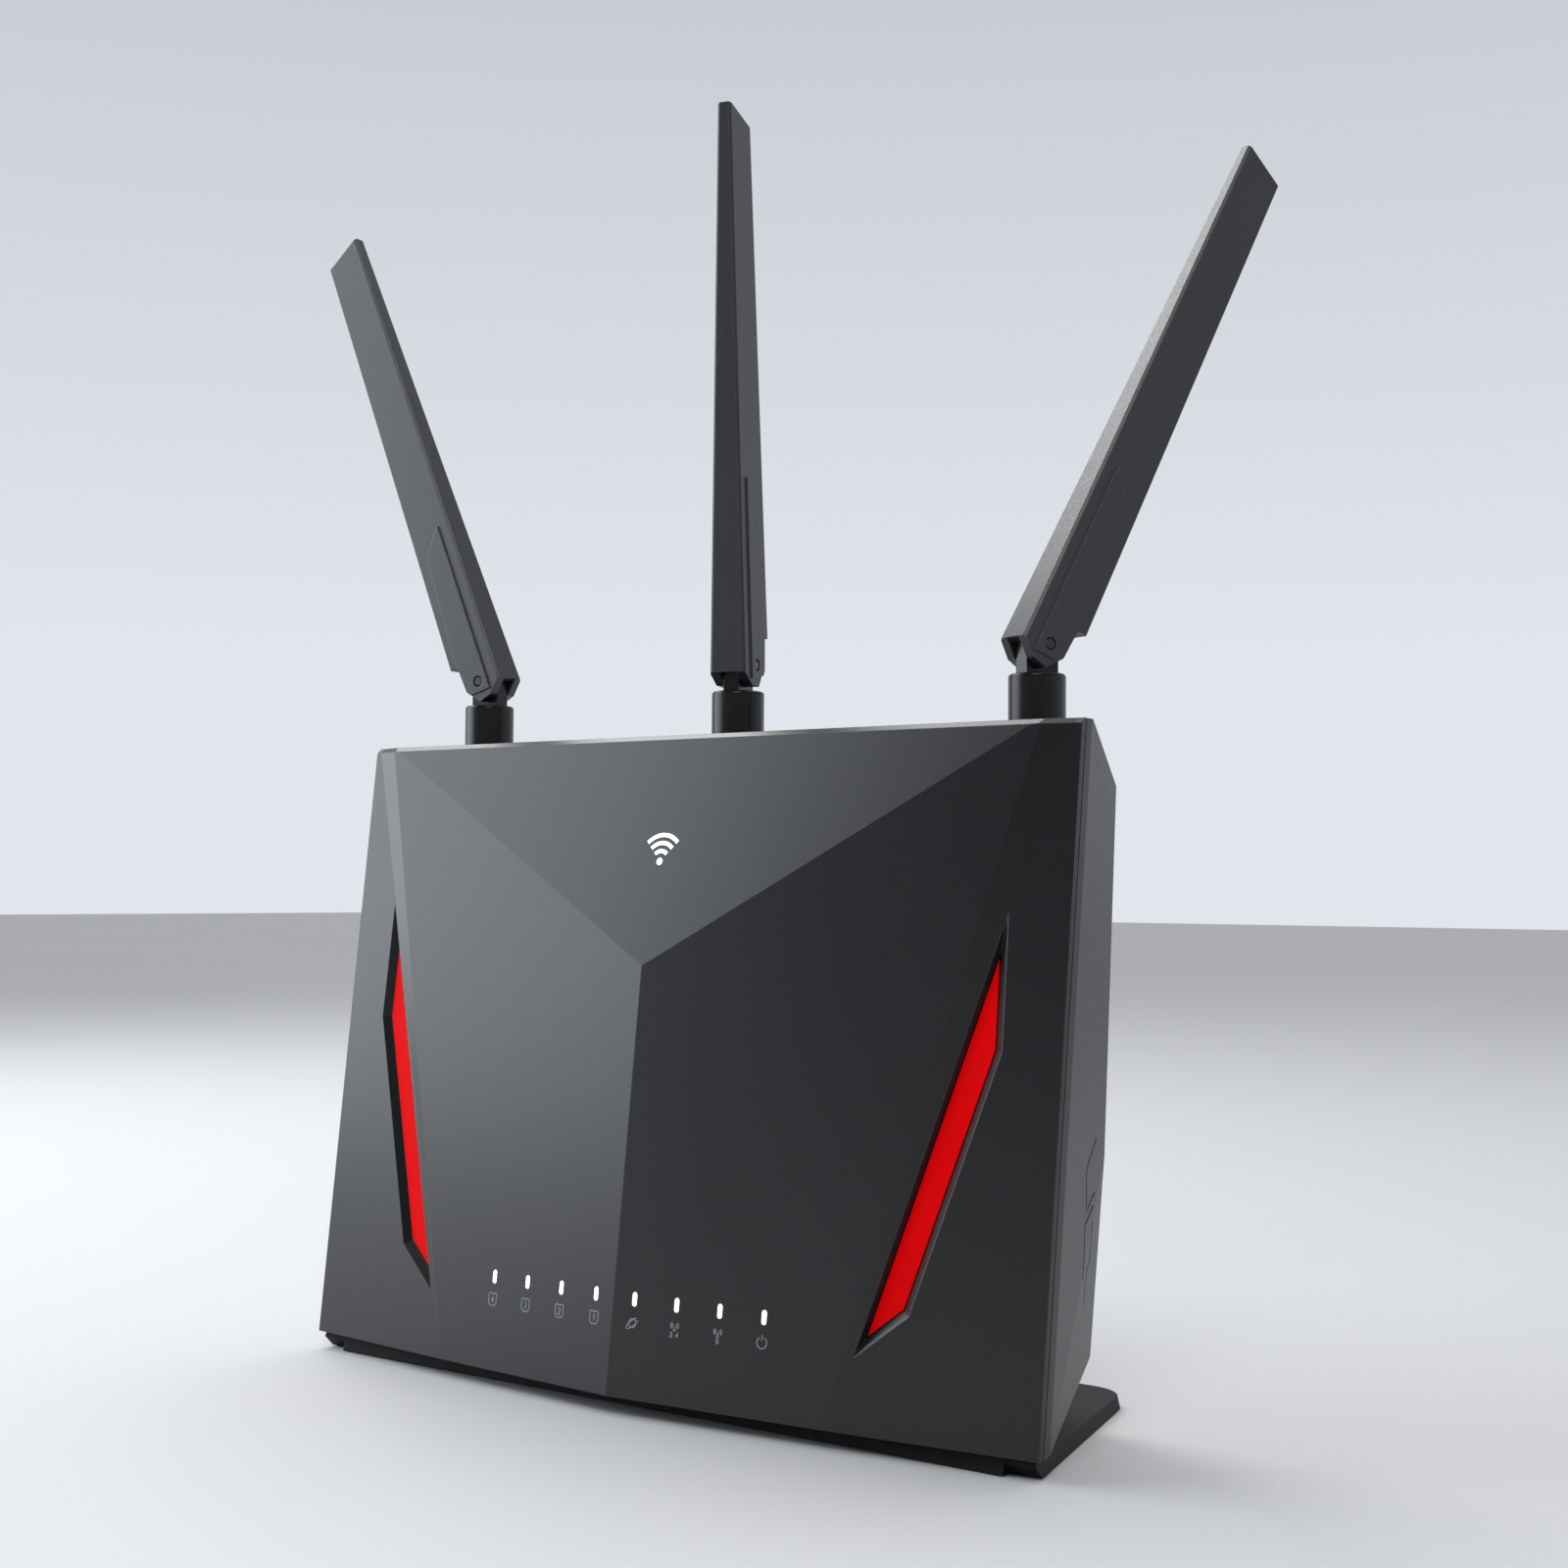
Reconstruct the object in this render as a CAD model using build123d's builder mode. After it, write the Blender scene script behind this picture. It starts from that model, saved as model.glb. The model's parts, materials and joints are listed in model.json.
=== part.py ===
"""An upright wireless router with three hinged aerials, all sizes in millimetres.

X runs to the viewer's right, Y to the back and Z up. The origin is at the middle of the
stand's footprint, on the surface that the router stands on.
"""
from build123d import *
import math
import os

os.makedirs("parts", exist_ok=True)

# ---- housing ----
width = 220.0            # front cover, side to side
height = 159.4           # surface to the top edge of the front cover
edge_z = 4.4             # surface to the front cover's bottom edge
front_y = -40.0          # bottom edge of the front cover
lean = 17.7              # how far the top edge stands behind the bottom edge
wall = 2.2               # both covers
rim_depth = 1.6          # side lip of the front cover
seam = 0.9               # dark joint between the two covers
rear_y = 10.0            # back wall
rear_drop = 13.4         # from the top edge down to where the roof meets the back wall
rear_bottom_z = 16.0     # where the underside meets the back wall
roof_y = -16.0           # where the flat top turns into the sloping roof
underside_y = -36.0      # where the underside starts to rise
fold_depth = 5.4         # side fold line behind the front edge
seam_inset = 0.3         # how far the rear cover's front edge stands in from that lip
fold_inset = 0.6         # how far the fold line stands in from the front cover's side
side_taper = 0.315       # sideways run of each side for one of depth
bevel_inset = 2.0        # how far the facet above the underside cuts into each side
fit = 0.3                # clearance round anything that passes through a wall
touch = 0.05             # clearance between faces that are screwed together

# ---- faceted front ----
ridge_height = 10.0      # ridge in front of the edge plane
ridge_top = 98.6         # ridge's upper end, measured up the slope
panel_top_half = 101.4   # half width of the raised panel at its top
panel_bottom_half = 58.9
panel_top_height = 2.1   # raised panel's top corners in front of the edge plane
band_top_half = 108.7    # outer edge of the bevelled band beside the panel
band_bottom_half = 60.0
crown = 1.2              # bevel along the front cover's whole top edge

# ---- red accents in the wings ----
recess_depth = 1.5
recess_side = 2.3        # sloping outer side of the recess, seen from the front
recess_inner = 1.0       # the same beside the raised panel
accent_thick = 1.8
accent_gap = 0.25
accent_top = 113.4       # upper tip of the recess, up the slope
accent_shoulder = 83.4
accent_knee = 25.7
accent_foot = 15.5
accent_outer = 95.9      # half width at the shoulder
accent_knee_half = 77.7

# ---- status lights ----
light_count = 8
light_pitch = 11.9
light_up = 21.5          # up the slope
light_width = 1.3
light_length = 3.2

# ---- emblem ----
emblem_up = 124.0
emblem_depth = 0.35
emblem_stroke = 1.1
emblem_dot = 0.95

# ---- stand ----
foot_proud = 0.25
foot_radius = 6.0
foot_height = 1.1
stand_front_thick = 4.0
stand_back_thick = 2.8
stand_half = 109.6
stand_back_y = 37.5
stand_back_half = 88.6
stand_corner = 12.0
stand_bevel = 13.0       # degrees
toe_half = 101.0
neck_half = 70.0
neck_front_y = -30.0
neck_back_y = -2.0
stand_screw_x = 60.0
stand_screw_ys = (-23.0, -9.0)

# ---- main board and what stands on it ----
board_half = 80.0
board_bottom = 20.0
board_top = 138.0
board_thick = 1.6
board_back = -12.0       # the face that carries the sockets
board_screw_x = 76.0
board_screw_zs = (46.0, 128.0)
post_x = 87.0
post_zs = (30.0, 128.0)
post_radius = 3.6
screw_radius = 1.5
pilot_radius = screw_radius + touch
head_radius = 2.8
head_height = 1.8

# ---- sockets in the back wall ----
socket_z = 30.0
socket_height = 13.6
lan_count = 4
lan_pitch = 14.2
lan_x = -27.0
jack_width = 15.6
wan_x = 13.0
jack_mouth = 11.9
jack_mouth_height = 8.2
jack_depth = 13.5
usb_xs = (31.0, 47.0)
usb_width = 13.2
usb_height = 6.0
usb_skin = 0.4
inlet_x = 61.5
inlet_bore = 3.1
inlet_pin = 1.0
inlet_collar = 4.4
power_x = 73.0
lights_x = -73.0
reset_x = -62.0

# ---- buttons ----
power_size = 7.4
lights_size = 4.4
power_travel = 1.8
button_proud = 1.4
reset_radius = 0.9
side_button_depth = 22.0
side_button_ups = (92.0, 108.0)
side_button_width = 3.6
side_button_length = 10.0
side_button_proud = 0.8

# ---- aerials ----
aerial_x = 87.0
aerial_y = -2.6
sleeve_radius = 6.6
sleeve_rise = 12.0       # sleeve's top above the top edge
boss_radius = 9.0
boss_drop = 3.6          # seat of the sleeves below the top edge
jack_radius = 3.5
pivot_rise = 18.6        # hinge pins above the top edge
pin_radius = 1.25
running = 0.03           # radial clearance of the turning fits
tongue_thick = 4.2
tongue_radius = 4.4
cheek_gap = 0.25
blade_high = 141.1       # pivot to the tip, on the spine side
blade_low = 137.3        # pivot to the tip, on the back side
blade_base = 4.8         # half thickness at the pivot
blade_tip = 1.8          # half thickness at the tip
blade_wall = 1.3
# heading of each spine about Z, and the blade's tilt away from it, in degrees
aerials = {
    "left": (-aerial_x, 4.4, 23.6),
    "middle": (0.0, -75.6, -2.6),
    "right": (aerial_x, -113.2, 28.5),
}

rear_top_z = height - rear_drop
boss_top = height - boss_drop
sleeve_top = height + sleeve_rise
pivot_z = height + pivot_rise
lean_angle = math.atan2(lean, height - edge_z)
lean_sin = math.sin(lean_angle)
lean_cos = math.cos(lean_angle)
slope = math.hypot(lean, height - edge_z)
up = Vector(0, lean_sin, lean_cos)
front_plane = Plane(origin=(0, front_y, edge_z), x_dir=(1, 0, 0), z_dir=(0, -lean_cos, lean_sin))
board_front = board_back - board_thick
back_inside = rear_y - wall
shell_depth = rim_depth + seam
front_half = width / 2


def save(part, name):
    """Label a finished piece and write it under its own name."""
    part.label = name
    export_step(part, f"parts/{name}.step")


def front_point(x, along, out):
    """A point given across, up the slope and out from the front's edge plane."""
    return front_plane.from_local_coords(Vector(x, along, out))


def facet(a, b, c):
    """The plane through three points of the front, facing forwards."""
    a, b, c = front_point(*a), front_point(*b), front_point(*c)
    normal = (b - a).cross(c - a)
    if normal.Y > 0:
        normal = -normal
    return Plane(origin=a, x_dir=b - a, z_dir=normal)


def panel_edge(along):
    """Half width of the raised panel at a height up the slope."""
    return panel_bottom_half + (panel_top_half - panel_bottom_half) * along / slope


def band_edge(along):
    """Half width at the foot of the bevelled band beside the panel."""
    return band_bottom_half + (band_top_half - band_bottom_half) * along / slope


def front_edge_y(z):
    """Where the edge plane lies at a height above the surface."""
    return front_y + lean * (z - edge_z) / (height - edge_z)


def underside_z(y):
    """Height of the rising underside."""
    return edge_z + (rear_bottom_z - edge_z) * (y - underside_y) / (rear_y - underside_y)


side_slope = (ridge_height - panel_top_height) / panel_top_half
corner_height = ridge_height - side_slope * panel_bottom_half
wing_slope = corner_height / (front_half - panel_bottom_half)
band_height = wing_slope * (front_half - band_top_half)
ridge_top_point = (0, ridge_top, ridge_height)
ridge_foot = (0, 0, ridge_height)
panel_top = [(s * panel_top_half, slope, panel_top_height) for s in (-1, 1)]
panel_foot = [(s * panel_bottom_half, 0, corner_height) for s in (-1, 1)]
band_top = [(s * band_top_half, slope, band_height) for s in (-1, 1)]
edge_foot = [(s * front_half, 0, 0) for s in (-1, 1)]
edge_top = [(s * front_half, slope, 0) for s in (-1, 1)]
top_facet = facet(panel_top[0], panel_top[1], ridge_top_point)
side_facets = [facet(ridge_top_point, ridge_foot, panel_top[i]) for i in (0, 1)]
band_facets = [facet(panel_top[i], panel_foot[i], band_top[i]) for i in (0, 1)]
wing_facets = [facet(edge_foot[i], edge_top[i], panel_foot[i]) for i in (0, 1)]


def crown_plane(face):
    """A bevel that starts on a front face, a little below the top edge, and slopes back to the top."""
    level = Plane.XY.offset(height - crown)
    along = face.z_dir.cross(level.z_dir).normalized()
    down = along.cross(face.z_dir)
    start = face.origin + down * ((height - crown - face.origin.Z) / down.Z)
    return Plane(origin=start, x_dir=along, z_dir=face.z_dir.normalized() + level.z_dir)


def front_form(inset, back):
    """The front's faceted solid, every face moved inwards, reaching back behind the edge plane."""
    reach = 2 * ridge_height
    crowns = [] if inset else [crown_plane(face) for face in [top_facet] + band_facets]
    with BuildPart() as form:
        with BuildSketch(front_plane.offset(-back)):
            with Locations((0, slope / 2)):
                Rectangle(width - 2 * inset, slope + 2 * reach)
        extrude(amount=back + 2 * ridge_height)
        for plane in [top_facet] + side_facets + band_facets:
            split(bisect_by=plane.offset(-inset), keep=Keep.BOTTOM)
        for plane in crowns:
            split(bisect_by=plane, keep=Keep.BOTTOM)
        for plane in wing_facets:
            outer = front_half - inset
            side = -1 if plane is wing_facets[0] else 1
            with BuildPart(mode=Mode.PRIVATE) as wing:
                with BuildSketch(front_plane.offset(-back)):
                    Polygon(
                        (side * panel_edge(-reach), -reach),
                        (side * outer, -reach),
                        (side * outer, slope + reach),
                        (side * min(panel_edge(slope + reach), outer - 1), slope + reach),
                        align=None,
                    )
                extrude(amount=back + 2 * ridge_height)
                split(bisect_by=plane.offset(-inset), keep=Keep.BOTTOM)
                if crowns:
                    split(bisect_by=crown_plane(plane), keep=Keep.BOTTOM)
            add(wing.part)
        split(bisect_by=Plane.XY.offset(edge_z + inset), keep=Keep.TOP)
        split(bisect_by=Plane.XY.offset(height - inset), keep=Keep.BOTTOM)
    return form.part


def rear_form(inset, ahead):
    """The rear cover's outer solid moved inwards, its open front moved ahead."""
    start = (shell_depth - ahead) / lean_cos
    section_plane = Plane(origin=front_plane.origin - up * (3 * wall + lean), x_dir=(1, 0, 0), z_dir=up)
    deep = 2 * (rear_y - front_y)
    seam_half = front_half - seam_inset
    fold_half = front_half - fold_inset
    deep_half = fold_half - side_taper * (deep - fold_depth)
    with BuildPart() as form:
        with BuildSketch(Plane.YZ):
            Polygon(
                (front_edge_y(edge_z) + start, edge_z),
                (underside_y, edge_z),
                (rear_y, rear_bottom_z),
                (rear_y, rear_top_z),
                (roof_y, height),
                (front_edge_y(height) + start, height),
                align=None,
            )
            if inset:
                offset(amount=-inset, kind=Kind.INTERSECTION)
        extrude(amount=front_half, both=True)
        with BuildSketch(section_plane):
            Polygon(
                (-seam_half, shell_depth - ahead),
                (seam_half, shell_depth - ahead),
                (fold_half, fold_depth),
                (deep_half, deep),
                (-deep_half, deep),
                (-fold_half, fold_depth),
                align=None,
            )
            if inset:
                offset(amount=-inset, kind=Kind.INTERSECTION)
        extrude(amount=slope + 6 * wall + 2 * lean, mode=Mode.INTERSECT)
    return form.part


def crossing(p, q, r, s):
    """Where the line through p and q meets the line through r and s."""
    d1 = (q[0] - p[0], q[1] - p[1])
    d2 = (s[0] - r[0], s[1] - r[1])
    t = ((r[0] - p[0]) * d2[1] - (r[1] - p[1]) * d2[0]) / (d1[0] * d2[1] - d1[1] * d2[0])
    return (p[0] + t * d1[0], p[1] + t * d1[1])


def inset_outline(points, insets):
    """An outline whose sides are moved inwards, each by its own amount; its points run clockwise."""
    moved = []
    for i, amount in enumerate(insets):
        a, b = points[i], points[(i + 1) % len(points)]
        long = math.dist(a, b)
        shift = (amount * (b[1] - a[1]) / long, -amount * (b[0] - a[0]) / long)
        moved.append(((a[0] + shift[0], a[1] + shift[1]), (b[0] + shift[0], b[1] + shift[1])))
    return [crossing(*moved[i - 1], *moved[i]) for i in range(len(points))]


recess_outline = [
    (band_edge(accent_top), accent_top),
    (accent_outer, accent_shoulder),
    (accent_knee_half, accent_knee),
    (band_edge(accent_foot), accent_foot),
]
recess_sides = (recess_side, recess_side, recess_side, recess_inner)
accent_outline = inset_outline(recess_outline, recess_sides)
groove_outline = inset_outline(accent_outline, (-accent_gap,) * 4)


def on_wing(points, side):
    """Points of an outline in the plane of the left (-1) or right (1) wing."""
    return [(side * (x - front_half), along) for x, along in points]


def wing_plane(side):
    """The face of the left (-1) or right (1) wing, with its origin at the cover's lower corner."""
    corner = front_point(side * front_half, 0, 0)
    crest = front_point(0, 0, wing_slope * front_half)
    normal = wing_facets[0 if side < 0 else 1].z_dir
    return Plane(origin=corner, x_dir=side * (corner - crest), z_dir=normal)


def wing_prism(points, side, outer, inner):
    """A prism through a wing between two depths behind its face."""
    with BuildPart() as prism:
        with BuildSketch(wing_plane(side).offset(-inner)):
            Polygon(*on_wing(points, side), align=None)
        extrude(amount=inner - outer)
    return prism.part


def wing_funnel(side):
    """The recess with its sloping sides."""
    plane = wing_plane(side)
    rise = 0.3
    with BuildPart() as funnel:
        for points, depth in ((recess_outline, 0.0), (groove_outline, recess_depth)):
            with BuildSketch(plane.offset(-depth)):
                Polygon(*on_wing(points, side), align=None)
        loft(ruled=True)
        with BuildSketch(plane):
            Polygon(*on_wing(recess_outline, side), align=None)
        extrude(amount=rise)
    return funnel.part


light_xs = [(i - (light_count - 1) / 2) * light_pitch for i in range(light_count)]


def light_height(x):
    """Height of the front's face over the edge plane at a status light."""
    return ridge_height - side_slope * abs(x)


def emblem_arcs(extra):
    """A dot under three arcs, the usual sign for a wireless link."""
    with BuildSketch() as sign:
        Circle(emblem_dot + extra)
        for radius in (2.6, 4.6, 6.6):
            with BuildLine():
                CenterArc((0, 0), radius, 45, 90)
            trace(line_width=emblem_stroke + 2 * extra)
    return sign.sketch


emblem_height = ridge_height - (ridge_height - panel_top_height) * (
    (emblem_up - ridge_top) / (slope - ridge_top)
)
emblem_plane = Plane(
    origin=front_point(0, emblem_up, emblem_height), x_dir=(1, 0, 0), z_dir=top_facet.z_dir
)


def y_tube(x, z, radius, start, end):
    """A round bar along Y."""
    with BuildPart() as bar:
        with BuildSketch(Plane((x, end, z), x_dir=(1, 0, 0), z_dir=(0, -1, 0))):
            Circle(radius)
        extrude(amount=end - start)
    return bar.part


def y_block(x, z, wide, high, start, end):
    """A rectangular block along Y."""
    with BuildPart() as block:
        with BuildSketch(Plane((x, end, z), x_dir=(1, 0, 0), z_dir=(0, -1, 0))):
            Rectangle(wide, high)
        extrude(amount=end - start)
    return block.part


def z_rod(x, y, radius, start, end):
    """A round rod along Z."""
    with BuildPart() as rod:
        with BuildSketch(Plane.XY.offset(start)):
            with Locations((x, y)):
                Circle(radius)
        extrude(amount=end - start)
    return rod.part


# ---- front cover: a faceted shell with wings, recesses and light holes ----
posts = [(side * post_x, z) for side in (-1, 1) for z in post_zs]
post_end = board_front - 2.4
front_solid = front_form(0, rim_depth)
front_hollow = front_form(wall, 40)

with BuildPart() as front_cover:
    add(front_solid)
    add(front_hollow, mode=Mode.SUBTRACT)
    for x, z in posts:
        add(y_tube(x, z, post_radius, front_y - 5, post_end) & front_form(wall / 2, 40))
    for side in (-1, 1):
        backing = inset_outline(recess_outline, (-1.2,) * 4)
        add(wing_prism(backing, side, wall / 2, recess_depth + accent_thick + 1.2))
    for side in (-1, 1):
        add(wing_funnel(side), mode=Mode.SUBTRACT)
        add(
            wing_prism(groove_outline, side, recess_depth - 0.1, recess_depth + accent_thick),
            mode=Mode.SUBTRACT,
        )
    for x in light_xs:
        with BuildSketch(front_plane.offset(-1)):
            with Locations((x, light_up)):
                SlotOverall(light_length + 0.2, light_width + 0.2, rotation=90)
        extrude(amount=ridge_height + 3, mode=Mode.SUBTRACT)
    with BuildSketch(emblem_plane.offset(-emblem_depth)):
        add(emblem_arcs(0.1))
    extrude(amount=2, mode=Mode.SUBTRACT)
    for x, z in posts:
        add(y_tube(x, z, pilot_radius, post_end - 9, post_end + 1), mode=Mode.SUBTRACT)
save(front_cover.part, "front_cover")

for side, name in ((-1, "left_accent"), (1, "right_accent")):
    save(wing_prism(accent_outline, side, recess_depth - 0.15, recess_depth + accent_thick - touch), name)

with BuildPart() as front_emblem:
    with BuildSketch(emblem_plane.offset(-emblem_depth)):
        add(emblem_arcs(0))
    extrude(amount=emblem_depth + 0.1)
save(front_emblem.part, "front_emblem")

# ---- light guide: eight long pins on one bar, each ending in a light hole ----
guide_back = -20.0
with BuildPart() as light_guide:
    with BuildSketch(front_plane.offset(guide_back)):
        with Locations((0, light_up)):
            Rectangle((light_count - 1) * light_pitch + 5, 5)
    extrude(amount=2.5)
    for x in light_xs:
        with BuildSketch(front_plane.offset(guide_back)):
            with Locations((x, light_up)):
                SlotOverall(light_length, light_width, rotation=90)
        extrude(amount=light_height(x) - 0.12 - guide_back)
save(light_guide.part, "light_guide")

# ---- rear cover: roof, sides, back wall and underside in one shell ----
lan_width = lan_count * lan_pitch + 1.4
jack_windows = [(lan_x, lan_width), (wan_x, jack_width)]
jacks = [(x, aerial_y) for x, _, _ in aerials.values()]
button_windows = [(power_x, power_size), (lights_x, lights_size)]
stand_screws = [(side * stand_screw_x, y) for side in (-1, 1) for y in stand_screw_ys]
board_screws = [(side * board_screw_x, z) for side in (-1, 1) for z in board_screw_zs]
rear_solid = rear_form(0, 0)
rear_hollow = rear_form(wall, 30)
head_seat = 3.0


def side_plane(side):
    """The main face of the left (-1) or right (1) side, X up the slope, origin at the fold's foot."""
    corner = front_point(side * (front_half - fold_inset), 0, -fold_depth)
    back = front_point(side * (front_half - fold_inset - side_taper), 0, -fold_depth - 1)
    return Plane(origin=corner, x_dir=up, z_dir=(back - corner).cross(up) * side)


def side_bevel(side):
    """The facet that trims each side towards the underside."""
    face = side_plane(side)
    low, high, deep = [
        face.from_local_coords(Vector(along, side * (fold_depth - depth), -inset))
        for along, depth, inset in ((6.0, 9.0, 0.0), (66.0, 47.0, 0.0), (12.0, 49.0, bevel_inset))
    ]
    normal = (high - low).cross(deep - low)
    return Plane(origin=low, x_dir=high - low, z_dir=normal if side * normal.X > 0 else -normal)


def side_button(side, along, grow, start, end):
    """A bar along X at a side button, grown by a clearance."""
    middle = front_point(0, along, -side_button_depth)
    with BuildPart() as bar:
        with BuildSketch(Plane((side * start, middle.Y, middle.Z), x_dir=(0, 1, 0), z_dir=(side, 0, 0))):
            SlotOverall(
                side_button_length + 2 * grow, side_button_width + 2 * grow, rotation=90
            )
        extrude(amount=end - start)
    return bar.part


# engraved vent lines on both sides, up the slope and back from the fold
vent_lines = [
    [(66.7, 34.9), (61.4, 27.8), (59.1, 26.2), (50.3, 28.4)],
    [(54.7, 36.1), (51.0, 29.4)],
    [(51.8, 35.7), (47.5, 27.8), (35.4, 29.0)],
    [(48.3, 35.9), (40.1, 36.3)],
    [(40.1, 37.0), (37.2, 33.3), (29.7, 33.4)],
]
vent_width = 0.7
vent_depth = 0.6

with BuildPart() as rear_cover:
    add(rear_solid)
    for side in (-1, 1):
        split(bisect_by=side_bevel(side), keep=Keep.BOTTOM)
    add(rear_hollow, mode=Mode.SUBTRACT)
    for x, y in jacks:
        add(z_rod(x, y, boss_radius, rear_top_z, boss_top))
    for x, z in posts:
        add(y_tube(x, z, post_radius + 1.2, post_end + 0.2, rear_y - 1))
    for x, z in board_screws:
        add(y_tube(x, z, 3.2, board_back + touch, rear_y - 1))
    for x, y in stand_screws:
        add(z_rod(x, y, 4.2, edge_z, 17.5) & rear_solid)
    # everything that passes through the shell
    for x, wide in jack_windows:
        add(
            y_block(x, socket_z, wide + 2 * fit, socket_height + 2 * fit, back_inside - 1, rear_y + 1),
            mode=Mode.SUBTRACT,
        )
    for x in usb_xs:
        add(
            y_block(x, socket_z, usb_width + 2 * fit, usb_height + 2 * fit, back_inside - 1, rear_y + 1),
            mode=Mode.SUBTRACT,
        )
    for x, size in button_windows:
        add(
            y_block(x, socket_z, size + 2 * fit, size + 2 * fit, back_inside - 1, rear_y + 1),
            mode=Mode.SUBTRACT,
        )
    add(y_tube(inlet_x, socket_z, inlet_collar + fit, back_inside - 1, rear_y + 1), mode=Mode.SUBTRACT)
    add(y_tube(reset_x, socket_z, reset_radius + fit, back_inside - 1, rear_y + 1), mode=Mode.SUBTRACT)
    for x, z in posts:
        add(y_tube(x, z, head_radius + fit, rear_y - head_seat, rear_y + 1), mode=Mode.SUBTRACT)
        add(y_tube(x, z, screw_radius + 0.2, post_end - 1, rear_y), mode=Mode.SUBTRACT)
    for x, z in board_screws:
        add(y_tube(x, z, 1.05, board_back - 1, board_back + 8), mode=Mode.SUBTRACT)
    for x, y in stand_screws:
        add(z_rod(x, y, pilot_radius, 0, 14.5), mode=Mode.SUBTRACT)
    for x, y in jacks:
        add(z_rod(x, y, jack_radius + touch, rear_top_z - 10, boss_top + 1), mode=Mode.SUBTRACT)
        add(z_rod(x, y, sleeve_radius + fit, boss_top, height + 1), mode=Mode.SUBTRACT)
    for side_up in side_button_ups:
        add(side_button(-1, side_up, fit, board_half + 8, front_half + 2), mode=Mode.SUBTRACT)
    # cooling slots high in the back wall, and the label's shallow seat
    with BuildSketch(Plane((0, rear_y + 1, 100), x_dir=(-1, 0, 0), z_dir=(0, 1, 0))):
        with GridLocations(7, 0, 19, 1):
            SlotOverall(46, 2.4, rotation=90)
    extrude(amount=-(wall + 2), mode=Mode.SUBTRACT)
    with BuildSketch(Plane((0, rear_y, 58), x_dir=(-1, 0, 0), z_dir=(0, 1, 0))):
        RectangleRounded(70, 24, 1.5)
    extrude(amount=-0.4, mode=Mode.SUBTRACT)
    for side in (-1, 1):
        for line in vent_lines:
            with BuildSketch(side_plane(side)):
                with BuildLine():
                    Polyline(*[(a, -side * (b - fold_depth)) for a, b in line])
                trace(line_width=vent_width)
            extrude(amount=-vent_depth, mode=Mode.SUBTRACT)
save(rear_cover.part, "rear_cover")

# ---- stand: a flat foot, a wedge-shaped neck under the cover, rubber feet and screws ----
with BuildPart() as stand_base:
    with BuildSketch(Plane.XY.offset(foot_proud)):
        Polygon(
            (-stand_half, front_y + 0.4),
            (stand_half, front_y + 0.4),
            (stand_back_half, stand_back_y),
            (-stand_back_half, stand_back_y),
            align=None,
        )
        fillet(vertices().group_by(Axis.Y)[-1], stand_corner)
    extrude(amount=stand_front_thick, taper=stand_bevel)
    split(
        bisect_by=Plane(
            origin=(0, front_y, stand_front_thick + foot_proud - 0.1),
            x_dir=(1, 0, 0),
            z_dir=(0, stand_front_thick - stand_back_thick, stand_back_y - front_y),
        ),
        keep=Keep.BOTTOM,
    )
    with BuildSketch(Plane.YZ):
        Polygon(
            (neck_front_y, foot_proud + 1),
            (neck_back_y, foot_proud + 1),
            (neck_back_y, underside_z(neck_back_y) - touch),
            (neck_front_y, underside_z(neck_front_y) - touch),
            align=None,
        )
    extrude(amount=neck_half, both=True)
    for side in (-1, 1):
        with BuildSketch(Plane.YZ.offset(side * toe_half)):
            Polygon((front_y - 3, -1), (front_y + 5, -1), (front_y - 3, edge_z + 2.6), align=None)
        extrude(amount=side * 20, mode=Mode.SUBTRACT)
    for x, y in stand_screws:
        add(z_rod(x, y, head_radius + fit, 0, foot_proud + head_height + fit), mode=Mode.SUBTRACT)
        add(z_rod(x, y, screw_radius + 0.2, 0, 20), mode=Mode.SUBTRACT)
    feet = [(side * 92, -30.0) for side in (-1, 1)] + [(side * 74, 27.0) for side in (-1, 1)]
    for x, y in feet:
        add(z_rod(x, y, foot_radius + touch, 0, foot_height + touch), mode=Mode.SUBTRACT)
save(stand_base.part, "stand_base")

with BuildPart() as rubber_feet:
    with BuildSketch(Plane.XY):
        with Locations(*feet):
            Circle(foot_radius)
    extrude(amount=foot_height)
save(rubber_feet.part, "rubber_feet")


def cross_head(plane, depth, size):
    """The driver's cross in a screw head."""
    cross_width = 0.7
    with BuildPart() as cross:
        with BuildSketch(plane):
            Rectangle(size, cross_width)
            Rectangle(cross_width, size)
        extrude(amount=-depth)
    return cross.part


def screw(plane, head, head_high, shank, length):
    """A pan-head screw whose head sits under the plane and whose shank runs against its normal."""
    with BuildPart() as body:
        with BuildSketch(plane):
            Circle(head)
        extrude(amount=-head_high)
        with BuildSketch(plane):
            Circle(shank)
        extrude(amount=-length)
        add(cross_head(plane, 1.0, 1.2 * head), mode=Mode.SUBTRACT)
    return body.part


with BuildPart() as housing_screws:
    for x, z in posts:
        seat = Plane((x, rear_y - head_seat + head_height, z), x_dir=(1, 0, 0), z_dir=(0, 1, 0))
        add(screw(seat, head_radius, head_height, screw_radius, head_height + 30))
save(housing_screws.part, "housing_screws")

with BuildPart() as stand_screw_set:
    for x, y in stand_screws:
        seat = Plane((x, y, foot_proud + 0.1), x_dir=(1, 0, 0), z_dir=(0, 0, -1))
        add(screw(seat, head_radius, head_height, screw_radius, 13.6))
save(stand_screw_set.part, "stand_screws")

# ---- main board ----
with BuildPart() as main_board:
    board_z = (board_bottom + board_top) / 2
    add(y_block(0, board_z, 2 * board_half, board_top - board_bottom, board_front, board_back))
    for x, z in board_screws:
        add(y_tube(x, z, 1.3, board_front - 1, board_back + 1), mode=Mode.SUBTRACT)
save(main_board.part, "main_board")

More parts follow.
